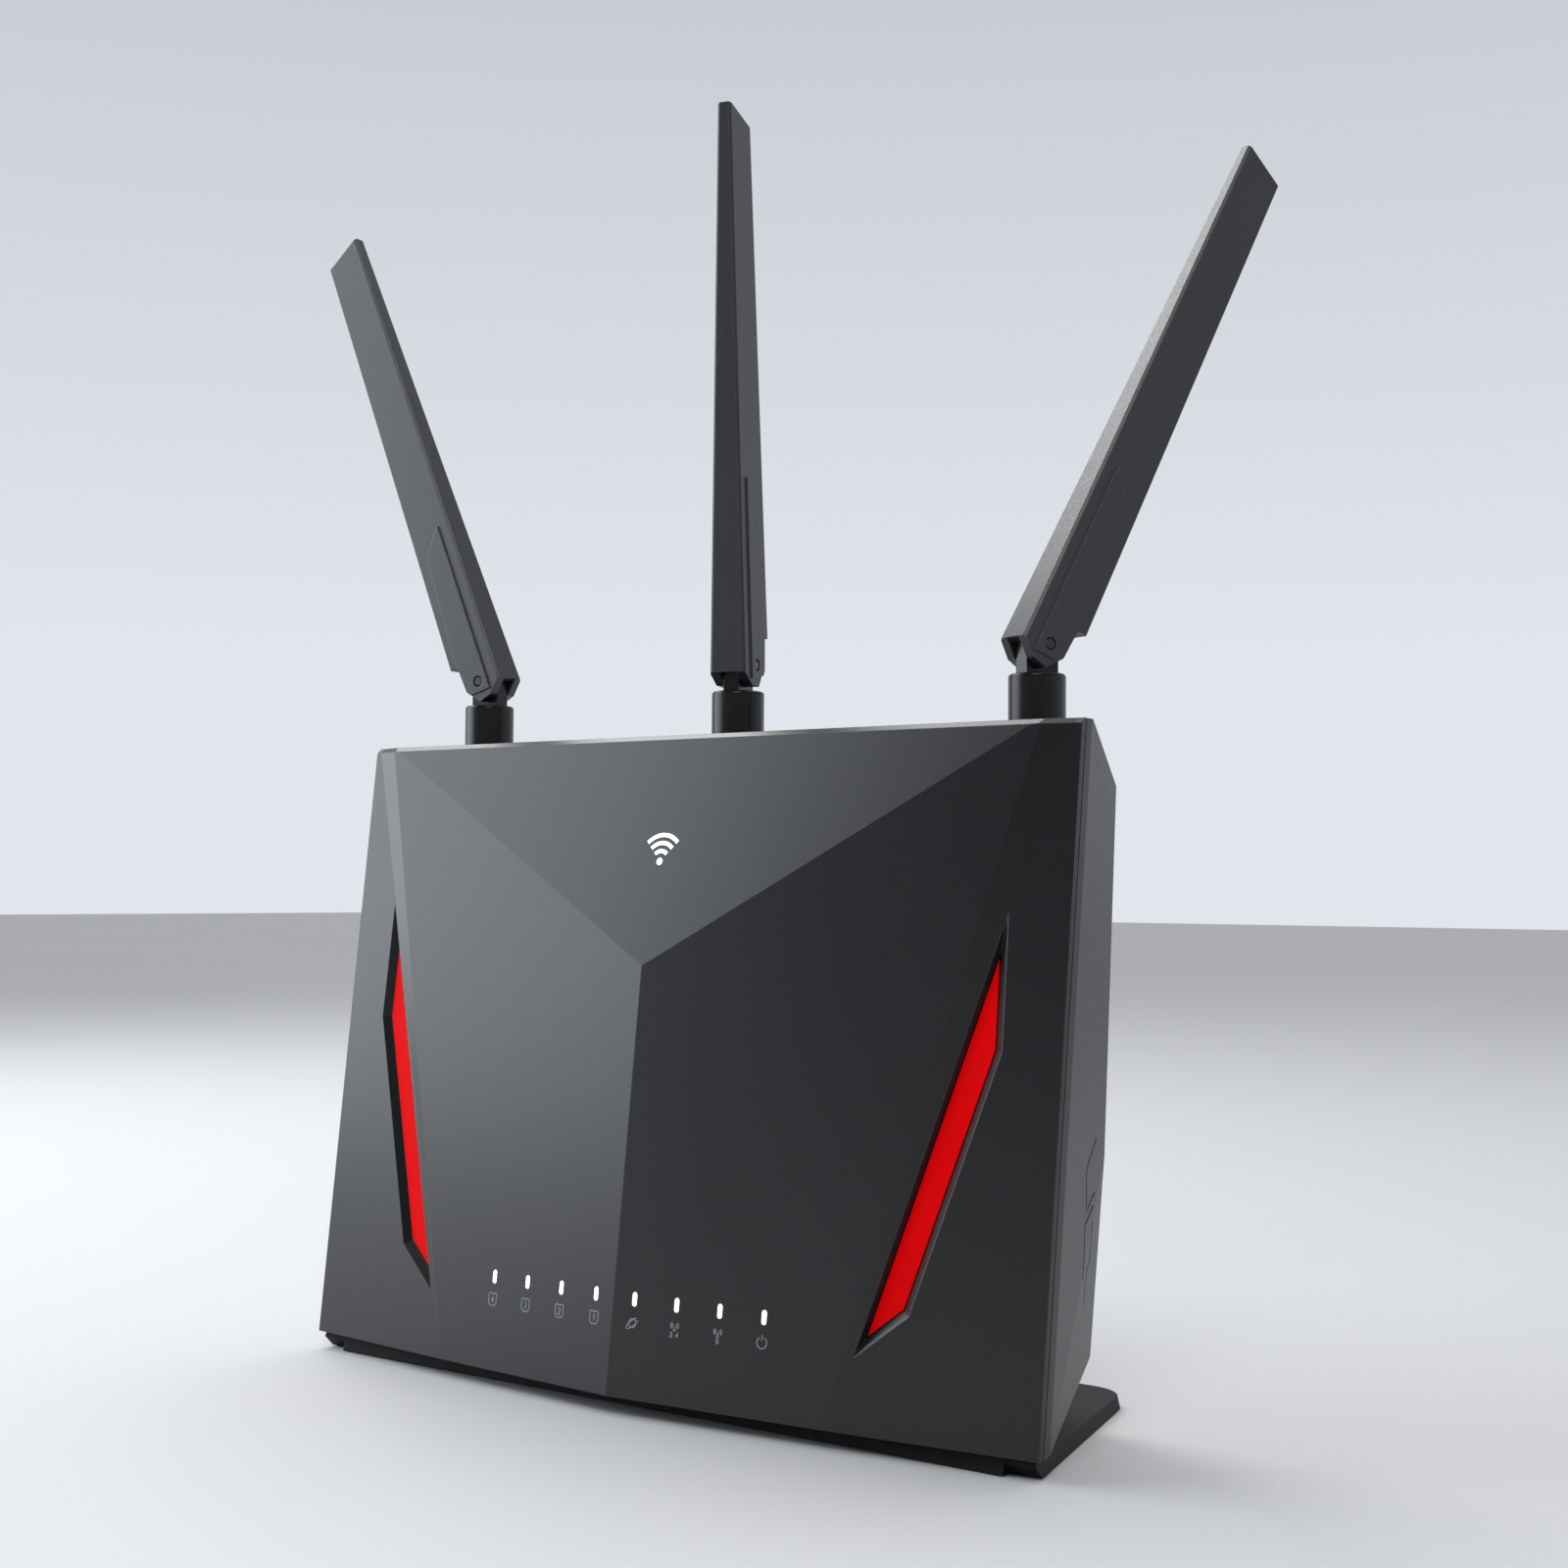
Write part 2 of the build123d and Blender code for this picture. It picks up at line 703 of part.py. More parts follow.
with BuildPart() as board_screw_set:
    for x, z in board_screws:
        seat = Plane((x, board_front - 1.4, z), x_dir=(1, 0, 0), z_dir=(0, -1, 0))
        add(screw(seat, 2.2, 1.35, 1.0, 8.0))
save(board_screw_set.part, "board_screws")


def on_board(x, z, wide, high, thick):
    """A block on the board's back face."""
    return y_block(x, z, wide, high, board_back, board_back + thick)


# chips and their heat sinks: (middle, height of the chip, width and height of the sink)
sinks = {"processor": (18.0, 84.0, 62.0, 52.0), "radio": (-44.0, 92.0, 42.0, 44.0)}
chip_high = 1.4
sink_base = 2.4
fin_height = 9.0
fin_thick = 1.3
fin_pitch = 4.4
for name, (x, z, wide, high) in sinks.items():
    with BuildPart() as chip:
        add(on_board(x, z, 15, 15, chip_high))
    save(chip.part, f"{name}_chip")
    with BuildPart() as heat_sink:
        base = board_back + chip_high
        add(y_block(x, z, wide, high, base, base + sink_base))
        for i in range(int(wide / fin_pitch)):
            fin_x = x + (i - (int(wide / fin_pitch) - 1) / 2) * fin_pitch
            add(y_block(fin_x, z, fin_thick, high, base + sink_base, base + sink_base + fin_height))
    save(heat_sink.part, f"{name}_heat_sink")

with BuildPart() as memory_chips:
    for x, z in ((18.0, 124.0), (32.0, 124.0), (46.0, 124.0), (60.0, 84.0)):
        add(on_board(x, z, 9, 12, 1.1))
save(memory_chips.part, "memory_chips")

with BuildPart() as shield_cans:
    for x, z in ((-50.0, 106.0), (0.0, 106.0), (50.0, 106.0)):
        add(y_block(x, z, 36, 28, board_front - 2.6, board_front))
        add(y_block(x, z, 35, 27, board_front - 2.3, board_front), mode=Mode.SUBTRACT)
save(shield_cans.part, "shield_cans")

with BuildPart() as capacitors:
    for x in (46.0, 56.0, 66.0):
        add(y_tube(x, 48.5, 3.6, board_back, board_back + 11))
save(capacitors.part, "capacitors")

with BuildPart() as network_magnetics:
    for x in (-52.0, -34.0, -16.0, 12.0):
        add(on_board(x, 48, 13, 9, 4.5))
save(network_magnetics.part, "network_magnetics")

with BuildPart() as status_leds:
    for x in light_xs:
        tip = front_point(x, light_up, guide_back)
        add(y_block(x, tip.Z, 1.6, 2.4, board_front - 0.7, board_front))
save(status_leds.part, "status_leds")


# ---- sockets ----
def socket_block(x, wide, mouths, name):
    """A block of network jacks with one stepped mouth for each plug."""
    with BuildPart() as block:
        add(on_board(x, socket_z, wide, socket_height, rear_y - 0.3 - board_back))
        for mouth_x in mouths:
            front = rear_y - 0.3 - jack_depth
            add(
                y_block(mouth_x, socket_z + 0.9, jack_mouth, jack_mouth_height, front, rear_y),
                mode=Mode.SUBTRACT,
            )
            add(y_block(mouth_x, socket_z - 3.9, 6.2, 2.2, front, rear_y), mode=Mode.SUBTRACT)
            add(y_block(mouth_x, socket_z - 5.3, 3.2, 1.2, front, rear_y), mode=Mode.SUBTRACT)
    save(block.part, name)


lan_mouths = [lan_x + (i - (lan_count - 1) / 2) * lan_pitch for i in range(lan_count)]
socket_block(lan_x, lan_width, lan_mouths, "lan_jack_block")
socket_block(wan_x, jack_width, [wan_x], "wan_jack")

with BuildPart() as usb_sockets:
    mouth = rear_y - 0.2
    for x in usb_xs:
        add(y_block(x, socket_z, usb_width, usb_height, board_back, mouth))
        add(
            y_block(x, socket_z, usb_width - 2 * usb_skin, usb_height - 2 * usb_skin, mouth - 12, mouth),
            mode=Mode.SUBTRACT,
        )
        add(y_block(x, socket_z + 0.9, usb_width - 2, 1.9, mouth - 12.5, mouth - 0.6))
save(usb_sockets.part, "usb_sockets")

with BuildPart() as power_inlet:
    add(on_board(inlet_x, socket_z, 9, 11, back_inside - 0.2 - board_back))
    add(y_tube(inlet_x, socket_z, inlet_collar, back_inside - 1, rear_y - 0.1))
    add(y_tube(inlet_x, socket_z, inlet_bore, rear_y - 9.6, rear_y), mode=Mode.SUBTRACT)
    add(y_tube(inlet_x, socket_z, inlet_pin, rear_y - 10.5, rear_y - 1))
save(power_inlet.part, "power_inlet")


# ---- buttons and the switches behind them ----
def push_button(x, size, travel, name):
    """A square button in the back wall, with its switch on the board."""
    switch_end = back_inside - 4.4 - travel
    with BuildPart() as switch:
        add(on_board(x, socket_z, size, size, switch_end - board_back))
    save(switch.part, f"{name}_switch")
    with BuildPart() as button:
        with BuildSketch(Plane((x, rear_y + button_proud, socket_z), x_dir=(1, 0, 0), z_dir=(0, -1, 0))):
            RectangleRounded(size, size, 0.9)
        extrude(amount=rear_y + button_proud - switch_end - travel - 0.2)
        chamfer(button.edges().group_by(Axis.Y)[-1], 0.4)
        with BuildSketch(Plane((x, back_inside - 0.4, socket_z), x_dir=(1, 0, 0), z_dir=(0, -1, 0))):
            RectangleRounded(size + 2, size + 2, 0.9)
        extrude(amount=1.2)
    save(button.part, f"{name}_button")


push_button(power_x, power_size, power_travel, "power")
push_button(lights_x, lights_size, 0.8, "lights")

with BuildPart() as reset_switch:
    add(on_board(reset_x, socket_z, 6, 6, 10))
save(reset_switch.part, "reset_switch")

with BuildPart() as reset_button:
    add(y_tube(reset_x, socket_z, reset_radius, board_back + 11, rear_y - 1.2))
    add(y_tube(reset_x, socket_z, 2.0, board_back + 11, board_back + 12.5))
save(reset_button.part, "reset_button")

side_stem_end = board_half + 4.5
for along, name in zip(side_button_ups, ("pairing_button", "wireless_button")):
    with BuildPart() as side_button_cap:
        add(side_button(-1, along, 0, side_stem_end + 12, front_half + 2))
        split(bisect_by=side_plane(-1).offset(side_button_proud), keep=Keep.BOTTOM)
        middle = front_point(0, along, -side_button_depth)
        with BuildPart(mode=Mode.PRIVATE) as stem:
            Box(13, 2.6, 5, align=(Align.MIN, Align.CENTER, Align.CENTER))
        add(stem.part.moved(Location((-side_stem_end - 13, middle.Y, middle.Z))))
    save(side_button_cap.part, name)

with BuildPart() as side_switches:
    for along in side_button_ups:
        middle = front_point(0, along, -side_button_depth)
        block = Box(7, 8.5, 7, align=(Align.MIN, Align.MIN, Align.CENTER), mode=Mode.PRIVATE)
        add(block.moved(Location((-board_half - 3, board_back, middle.Z))))
save(side_switches.part, "side_switches")

# ---- aerial jacks in the roof, their nuts and the leads down to the board ----
jack_foot = rear_top_z - 4.0
jack_head = rear_top_z + 18.0
nut_high = 3.0
with BuildPart() as aerial_jacks:
    for x, y in jacks:
        add(z_rod(x, y, jack_radius, jack_foot, jack_head))
        add(z_rod(x, y, 2.2, jack_head - 8, jack_head), mode=Mode.SUBTRACT)
        add(z_rod(x, y, 0.6, jack_head - 9, jack_head - 2))
save(aerial_jacks.part, "aerial_jacks")

with BuildPart() as jack_nuts:
    with BuildSketch(Plane.XY.offset(rear_top_z - touch)):
        with Locations(*jacks):
            RegularPolygon(5.2, 6)
            Circle(jack_radius + touch, mode=Mode.SUBTRACT)
    extrude(amount=-nut_high)
save(jack_nuts.part, "jack_nuts")

lead_radius = 0.7
lead_ends = [(0.66 * x + 6.0, 121.0) for x, _ in jacks]
with BuildPart() as board_connectors:
    for x, z in lead_ends:
        add(on_board(x, z - 3, 4, 6, 8.4))
save(board_connectors.part, "board_connectors")

lead_y = board_back + 5.4
with BuildPart() as aerial_leads:
    for (x, y), (end_x, end_z) in zip(jacks, lead_ends):
        route = [
            (x, y, jack_foot),
            (x, y, jack_foot - 5),
            (end_x, lead_y, end_z + 9),
            (end_x, lead_y, end_z),
        ]
        with BuildLine():
            run = FilletPolyline(*route, radius=2.4)
        with BuildSketch(Plane((x, y, jack_foot), z_dir=(0, 0, -1))):
            Circle(lead_radius)
        sweep(path=run)
save(aerial_leads.part, "aerial_leads")

with BuildPart() as rating_label:
    with BuildSketch(Plane((0, rear_y - 0.4, 58), x_dir=(-1, 0, 0), z_dir=(0, 1, 0))):
        RectangleRounded(68, 22, 1.2)
    extrude(amount=0.25)
save(rating_label.part, "rating_label")

# ---- aerials: each is made upright at its pivot, X towards its spine, then swung into place ----
spine_base = 6.9
spine_tip = 5.5
back_base = -8.1
back_tip = -6.5
notch_up = 7.0
cheek_in = -5.4
cheek_end = -5.4
slot_top = 6.4
spine_foot = -1.8        # where the spine ends, over the mouth of the hinge slot
edge_break = 0.6         # bevel between the spine and the wide faces
panel_inset = 3.8        # from the spine back to the raised panel
head_ring = 0.3          # dark ring round the pin's head
cavity_bottom = 16.0
cavity_top = 130.0
panel_rise = 0.45
panel_top = 47.0
panel_drop = 6.5
back_strip = 1.4


def blade_section(share, inset, back_ahead=0.0):
    """The blade's cross-section, from the pivot (share 0) to the tip (share 1)."""
    spine = spine_base + (spine_tip - spine_base) * share - inset
    back = back_base + (back_tip - back_base) * share + inset - back_ahead
    thick = blade_base + (blade_tip - blade_base) * share - inset
    return [
        (back, thick),
        (spine - edge_break, thick),
        (spine, thick - edge_break),
        (spine, edge_break - thick),
        (spine - edge_break, -thick),
        (back, -thick),
    ]


def blade_loft(low, high, inset, back_ahead=0.0):
    """The tapering blade between two heights above the pivot."""
    with BuildPart() as body:
        for z in (low, high):
            with BuildSketch(Plane.XY.offset(z)):
                Polygon(*blade_section(z / blade_high, inset, back_ahead), align=None)
        loft(ruled=True)
    return body.part


with BuildPart() as raised_panel:
    with BuildSketch(Plane.XZ.offset(-2 * blade_base)):
        Polygon(
            (spine_base - panel_inset, cheek_end + 2),
            (spine_base - panel_inset - 0.4, panel_top),
            (back_base + 4.0, panel_top - panel_drop),
            (back_base + 2.6, notch_up + 3),
            (cheek_in + 0.8, cheek_end + 3),
            align=None,
        )
    extrude(amount=4 * blade_base)
panel_skin = raised_panel.part & blade_loft(cheek_end - 4, blade_high + 4, -panel_rise)

with BuildPart() as blade:
    add(blade_loft(cheek_end - 4, blade_high + 4, 0))
    add(panel_skin)
    with BuildSketch(Plane.XZ.offset(-2 * blade_base)):
        with BuildLine():
            Polyline(
                (spine_base + 2, blade_high + (blade_high - blade_low) * 0.16),
                (spine_base + 2, spine_foot + 0.6),
                (spine_base, spine_foot),
                (2.6, cheek_end + 0.4),
                (-1.6, cheek_end),
                (cheek_in + 0.6, -1.0),
                (cheek_in, notch_up - 0.8),
                (cheek_in - 0.8, notch_up),
                (back_base - 2, notch_up),
                (back_base - 2, blade_low - (blade_high - blade_low) * 0.3),
                close=True,
            )
        make_face()
    extrude(amount=4 * blade_base, mode=Mode.INTERSECT)
    with BuildSketch(Plane.XZ):
        Polygon(
            (spine_base + 2, cheek_end - 4),
            (spine_base + 2, spine_foot),
            (tongue_radius + cheek_gap, spine_foot),
            (tongue_radius + cheek_gap, slot_top),
            (back_base - 2, slot_top),
            (back_base - 2, cheek_end - 4),
            align=None,
        )
    extrude(amount=tongue_thick / 2 + cheek_gap, both=True, mode=Mode.SUBTRACT)
    add(blade_loft(cavity_bottom, cavity_top, blade_wall, 6), mode=Mode.SUBTRACT)
    with BuildSketch(Plane.XZ.offset(-2 * blade_base)):
        Circle(pin_radius + touch)
    extrude(amount=4 * blade_base, mode=Mode.SUBTRACT)
    for face in (-1, 1):
        with BuildSketch(Plane.XZ.offset(face * (blade_base - 0.2))):
            Circle(pin_radius + head_ring)
        extrude(amount=face * blade_base, mode=Mode.SUBTRACT)

with BuildPart() as back_strip_part:
    add(blade_loft(cavity_bottom + 0.1, cavity_top - 0.1, blade_wall + 0.06))
    with BuildSketch(Plane.XZ.offset(-2 * blade_base)):
        Polygon(
            (back_base - 1, 0),
            (back_base + blade_wall + 0.1 + back_strip, 0),
            (back_tip + blade_wall + 0.1 + back_strip, blade_high),
            (back_base - 1, blade_high),
            align=None,
        )
    extrude(amount=4 * blade_base, mode=Mode.INTERSECT)

element_thick = 0.8
element_wide = 4.6
with BuildPart() as element:
    with BuildSketch(Plane.YZ.offset(-2.2)):
        with Locations((0, 72)):
            Rectangle(element_thick, 100)
    extrude(amount=element_wide)

pin_length = 2 * (blade_base + panel_rise - 0.15)
with BuildPart() as pin:
    with BuildSketch(Plane.XZ.offset(-pin_length / 2)):
        Circle(pin_radius)
    extrude(amount=pin_length)
    chamfer(pin.edges().filter_by(GeomType.CIRCLE), 0.2)

sleeve_bottom = boss_top + 0.3 - pivot_z
sleeve_rim = sleeve_top - pivot_z
with BuildPart() as sleeve:
    with BuildSketch(Plane.XY.offset(sleeve_bottom)):
        Circle(sleeve_radius)
    extrude(amount=sleeve_rim - sleeve_bottom)
    fillet(sleeve.edges().group_by(Axis.Z)[-1], 0.8)
    with BuildSketch(Plane.XZ.offset(-tongue_thick / 2)):
        Circle(tongue_radius)
        with Locations((0, sleeve_rim / 2)):
            Rectangle(2 * tongue_radius, -sleeve_rim + 1.6)
    extrude(amount=tongue_thick)
    with BuildSketch(Plane.XZ.offset(-tongue_thick)):
        Circle(pin_radius + running)
    extrude(amount=2 * tongue_thick, mode=Mode.SUBTRACT)
    with BuildSketch(Plane.XY.offset(sleeve_bottom)):
        Circle(jack_radius + running)
    extrude(amount=jack_head + 0.4 - pivot_z - sleeve_bottom, mode=Mode.SUBTRACT)

for name, (x, heading, tilt) in aerials.items():
    swivel = Location((x, aerial_y, pivot_z), (0, 0, heading))
    swing = swivel * Location((0, 0, 0), (0, -tilt, 0))
    save(sleeve.part.moved(swivel), f"{name}_aerial_sleeve")
    save(blade.part.moved(swing), f"{name}_aerial_blade")
    save(back_strip_part.part.moved(swing), f"{name}_aerial_back_strip")
    save(element.part.moved(swing), f"{name}_aerial_element")
    save(pin.part.moved(swing), f"{name}_aerial_pin")
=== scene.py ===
"""Finishes, printed signs, socket contacts and stage for an upright wireless router with three aerials."""
import json
import math

import bmesh
import bpy
from bpy.props import FloatProperty, FloatVectorProperty, IntProperty, PointerProperty
from bpy.types import Operator, Panel, PropertyGroup
from mathutils import Matrix, Vector
from mathutils.bvhtree import BVHTree


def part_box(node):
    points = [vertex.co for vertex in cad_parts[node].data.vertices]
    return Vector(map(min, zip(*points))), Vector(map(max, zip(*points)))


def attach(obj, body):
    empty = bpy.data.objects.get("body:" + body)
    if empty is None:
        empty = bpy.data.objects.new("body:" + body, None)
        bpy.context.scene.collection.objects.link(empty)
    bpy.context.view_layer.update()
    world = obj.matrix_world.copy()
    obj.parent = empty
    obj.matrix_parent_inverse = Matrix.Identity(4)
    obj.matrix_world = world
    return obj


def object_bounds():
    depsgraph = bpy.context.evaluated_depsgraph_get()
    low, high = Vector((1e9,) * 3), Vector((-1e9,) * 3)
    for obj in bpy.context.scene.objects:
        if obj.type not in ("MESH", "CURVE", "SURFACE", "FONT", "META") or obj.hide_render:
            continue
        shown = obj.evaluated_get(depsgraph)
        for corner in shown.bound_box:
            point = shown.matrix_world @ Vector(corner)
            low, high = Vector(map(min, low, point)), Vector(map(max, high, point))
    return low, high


bl_info = {
    "name": "Wireless Router",
    "version": (1, 0, 0),
    "blender": (4, 5, 0),
    "location": "View3D > Sidebar > Router",
    "description": "Gives an upright wireless router its finishes, signs, contacts and stage",
    "category": "Object",
}

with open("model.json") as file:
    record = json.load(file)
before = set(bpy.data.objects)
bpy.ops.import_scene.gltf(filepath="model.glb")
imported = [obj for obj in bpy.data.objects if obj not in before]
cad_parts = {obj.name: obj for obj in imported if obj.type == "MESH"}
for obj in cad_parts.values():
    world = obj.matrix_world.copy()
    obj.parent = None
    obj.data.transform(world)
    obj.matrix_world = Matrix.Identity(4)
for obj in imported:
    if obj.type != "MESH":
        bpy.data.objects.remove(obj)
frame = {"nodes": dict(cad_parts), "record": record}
cad_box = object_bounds()
nodes = frame["nodes"]
MM = 0.001
light_low, light_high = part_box("light_guide")
cover_low, cover_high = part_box("front_cover")
rear_low, rear_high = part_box("rear_cover")


# ---- sizes and colours that a user would change ----
class RouterShell(PropertyGroup):
    """The dark moulded plastic of the covers, stand and aerials."""

    colour: FloatVectorProperty(
        name="Shell colour", description="Charcoal of the front cover",
        subtype="COLOR", size=3, min=0, max=1, default=(0.0062, 0.0068, 0.0080),
    )
    side_colour: FloatVectorProperty(
        name="Side colour", description="Charcoal of the rear cover and its sides",
        subtype="COLOR", size=3, min=0, max=1, default=(0.016, 0.0175, 0.0205),
    )
    roughness: FloatProperty(
        name="Shell roughness", description="How satin the front cover is",
        subtype="FACTOR", min=0, max=1, default=0.30,
    )
    side_roughness: FloatProperty(
        name="Side roughness", description="How matt the grained sides and aerials are",
        subtype="FACTOR", min=0, max=1, default=0.42,
    )
    grain: FloatProperty(
        name="Grain size", description="Spacing of the moulded grain",
        subtype="DISTANCE", unit="LENGTH", default=0.45 * MM,
    )
    grain_depth: FloatProperty(
        name="Grain depth", description="Depth of the moulded grain",
        subtype="DISTANCE", unit="LENGTH", default=0.012 * MM,
    )
    edge_radius: FloatProperty(
        name="Edge radius", description="Softness of moulded edges",
        subtype="DISTANCE", unit="LENGTH", default=0.35 * MM,
    )
    edge_wear: FloatProperty(
        name="Edge polish", description="How much paler and shinier the touched edges are",
        subtype="FACTOR", min=0, max=1, default=0.45,
    )


class RouterTrim(PropertyGroup):
    """The coloured and shiny details."""

    accent_colour: FloatVectorProperty(
        name="Accent colour", description="Red of the two inserts in the wings",
        subtype="COLOR", size=3, min=0, max=1, default=(0.86, 0.0006, 0.0022),
    )
    emblem_colour: FloatVectorProperty(
        name="Emblem colour", description="Pale metal of the wireless emblem",
        subtype="COLOR", size=3, min=0, max=1, default=(0.88, 0.89, 0.90),
    )
    light_colour: FloatVectorProperty(
        name="Light colour", description="Colour of the lit status lights",
        subtype="COLOR", size=3, min=0, max=1, default=(0.93, 0.97, 1.0),
    )
    light_glow: FloatProperty(
        name="Light glow", description="Strength of the lit status lights",
        min=0, default=1.5,
    )
    ink_colour: FloatVectorProperty(
        name="Ink colour", description="Pale grey of the printed signs",
        subtype="COLOR", size=3, min=0, max=1, default=(0.26, 0.27, 0.29),
    )
    gold_colour: FloatVectorProperty(
        name="Contact colour", description="Gold of the spring contacts",
        subtype="COLOR", size=3, min=0, max=1, default=(0.86, 0.62, 0.22),
    )


class RouterSigns(PropertyGroup):
    """The small printed signs and the number of spring contacts."""

    height: FloatProperty(
        name="Sign height", description="Height of a sign under a status light",
        subtype="DISTANCE", unit="LENGTH", default=3.1 * MM,
    )
    drop: FloatProperty(
        name="Sign drop", description="From the middle of a light down to the middle of its sign",
        subtype="DISTANCE", unit="LENGTH", default=5.5 * MM,
    )
    stroke: FloatProperty(
        name="Sign stroke", description="Line width of the printed signs",
        subtype="DISTANCE", unit="LENGTH", default=0.25 * MM,
    )
    film: FloatProperty(
        name="Ink thickness", description="Thickness of the printed ink",
        subtype="DISTANCE", unit="LENGTH", default=0.03 * MM,
    )
    rear_height: FloatProperty(
        name="Rear sign height", description="Height of a sign above a socket",
        subtype="DISTANCE", unit="LENGTH", default=4.2 * MM,
    )
    contacts: IntProperty(
        name="Contacts", description="Spring contacts in each network jack", min=2, default=8,
    )


class RouterStage(PropertyGroup):
    """The floor, the lamps and the camera."""

    floor_colour: FloatVectorProperty(
        name="Floor colour", description="Plain pale floor",
        subtype="COLOR", size=3, min=0, max=1, default=(0.66, 0.665, 0.67),
    )
    floor_size: FloatProperty(
        name="Floor size", description="Width of the floor",
        subtype="DISTANCE", unit="LENGTH", default=14.0,
    )
    key_power: FloatProperty(
        name="Side lamp", description="Power of the large soft lamp beside the router",
        subtype="POWER", unit="POWER", default=12.0,
    )
    fill_power: FloatProperty(
        name="Fill lamp", description="Power of the weak lamp in front, high on the right",
        subtype="POWER", unit="POWER", default=4.5,
    )
    rim_power: FloatProperty(
        name="Rim lamp", description="Power of the small lamp high on the left that draws the edges",
        subtype="POWER", unit="POWER", default=6.5,
    )
    top_power: FloatProperty(
        name="Top lamp", description="Brightness of the wide soft lamp above the router",
        min=0, default=0.9,
    )
    lens: FloatProperty(
        name="Lens", description="Focal length on a 36 mm sensor",
        subtype="DISTANCE_CAMERA", unit="CAMERA", default=51.75,
    )
    camera_place: FloatVectorProperty(
        name="Camera place", description="Where the camera stands",
        subtype="TRANSLATION", unit="LENGTH", size=3, default=(0.3509, -0.4465, 0.1224),
    )
    camera_aim: FloatVectorProperty(
        name="Camera aim", description="Turn to the left, tilt up and roll of the camera",
        subtype="EULER", unit="ROTATION", size=3,
        default=(math.radians(37.14), math.radians(2.62), math.radians(0.41)),
    )


# ---- finishes ----
def add_node(tree, kind, **values):
    """A shader node with some of its inputs set by name."""
    node = tree.nodes.new(kind)
    for name, value in values.items():
        node.inputs[name].default_value = value
    return node


def noise(tree, place, spacing, detail=2.0, stretch=None):
    """Noise whose spots are about as far apart as spacing, in metres."""
    source = place
    if stretch:
        mapping = add_node(tree, "ShaderNodeMapping", Scale=stretch)
        tree.links.new(place, mapping.inputs["Vector"])
        source = mapping.outputs["Vector"]
    node = add_node(tree, "ShaderNodeTexNoise", Scale=1 / spacing, Detail=detail)
    tree.links.new(source, node.inputs["Vector"])
    return node.outputs["Fac"]


def spread(tree, source, low, high, start=0.3, end=0.7):
    """A noise value stretched between two numbers."""
    node = add_node(
        tree, "ShaderNodeMapRange",
        **{"From Min": start, "From Max": end, "To Min": low, "To Max": high},
    )
    tree.links.new(source, node.inputs["Value"])
    return node.outputs["Result"]


def tint(colour, share):
    """A colour made brighter or darker, with full opacity."""
    return tuple(min(1.0, c * share) for c in colour) + (1.0,)


def blend_colours(tree, factor, first, second):
    """Two colours, or a colour and a socket, mixed by a factor."""
    mix = tree.nodes.new("ShaderNodeMix")
    mix.data_type = "RGBA"
    tree.links.new(factor, mix.inputs["Factor"])
    for value, name in ((first, "A_Color"), (second, "B_Color")):
        socket = next(s for s in mix.inputs if s.identifier == name)
        if isinstance(value, tuple):
            socket.default_value = value
        else:
            tree.links.new(value, socket)
    return next(s for s in mix.outputs if s.identifier == "Result_Color")


def edge_mask(tree, radius, place):
    """Where the surface bends sharply, broken up so that wear is uneven; and the softened normal."""
    bevel = add_node(tree, "ShaderNodeBevel", Radius=radius)
    bevel.samples = 6
    geometry = tree.nodes.new("ShaderNodeNewGeometry")
    dot = tree.nodes.new("ShaderNodeVectorMath")
    dot.operation = "DOT_PRODUCT"
    tree.links.new(bevel.outputs["Normal"], dot.inputs[0])
    tree.links.new(geometry.outputs["Normal"], dot.inputs[1])
    sharp = spread(tree, dot.outputs["Value"], 1.0, 0.0, 0.90, 0.995)
    patchy = spread(tree, noise(tree, place, 0.006, 3.0), 0.45, 1.0)
    both = tree.nodes.new("ShaderNodeMath")
    both.operation = "MULTIPLY"
    tree.links.new(sharp, both.inputs[0])
    tree.links.new(patchy, both.inputs[1])
    return both.outputs["Value"], bevel.outputs["Normal"]


def finish(
    name, colour, roughness, metallic=0.0, grain=0.0, depth=0.0, mottle=0.1, gloss_spread=0.05,
    edge=0.0, wear=0.0, stretch=None, specular=0.5, coat=0.0, patch=0.012,
):
    """A finish with its own grain, tone variation, gloss variation and softened, worn edges."""
    material = bpy.data.materials.new(name)
    material.use_nodes = True
    material.diffuse_color = tint(colour, 1.0)
    tree = material.node_tree
    shader = tree.nodes["Principled BSDF"]
    shader.inputs["Metallic"].default_value = metallic
    shader.inputs["Specular IOR Level"].default_value = specular
    shader.inputs["Coat Weight"].default_value = coat
    shader.inputs["Coat Roughness"].default_value = 0.12
    place = tree.nodes.new("ShaderNodeTexCoord").outputs["Object"]
    cloud = noise(tree, place, patch, 4.0, stretch)
    tone = spread(tree, cloud, 0.0, 1.0)
    shade = blend_colours(tree, tone, tint(colour, 1 - mottle), tint(colour, 1 + mottle))
    normal = None
    if edge:
        mask, normal = edge_mask(tree, edge, place)
        worn = spread(tree, mask, 0.0, wear, 0.0, 1.0)
        shade = blend_colours(tree, worn, shade, tint([c + 0.05 for c in colour], 1.7))
    tree.links.new(shade, shader.inputs["Base Color"])
    fine = noise(tree, place, grain or 0.001, 2.0, stretch)
    gloss = spread(tree, fine, roughness - gloss_spread, roughness + gloss_spread)
    tree.links.new(gloss, shader.inputs["Roughness"])
    if depth:
        bump = add_node(tree, "ShaderNodeBump", Strength=1.0, Distance=depth)
        tree.links.new(fine, bump.inputs["Height"])
        if normal:
            tree.links.new(normal, bump.inputs["Normal"])
        normal = bump.outputs["Normal"]
    if normal:
        tree.links.new(normal, shader.inputs["Normal"])
    return material


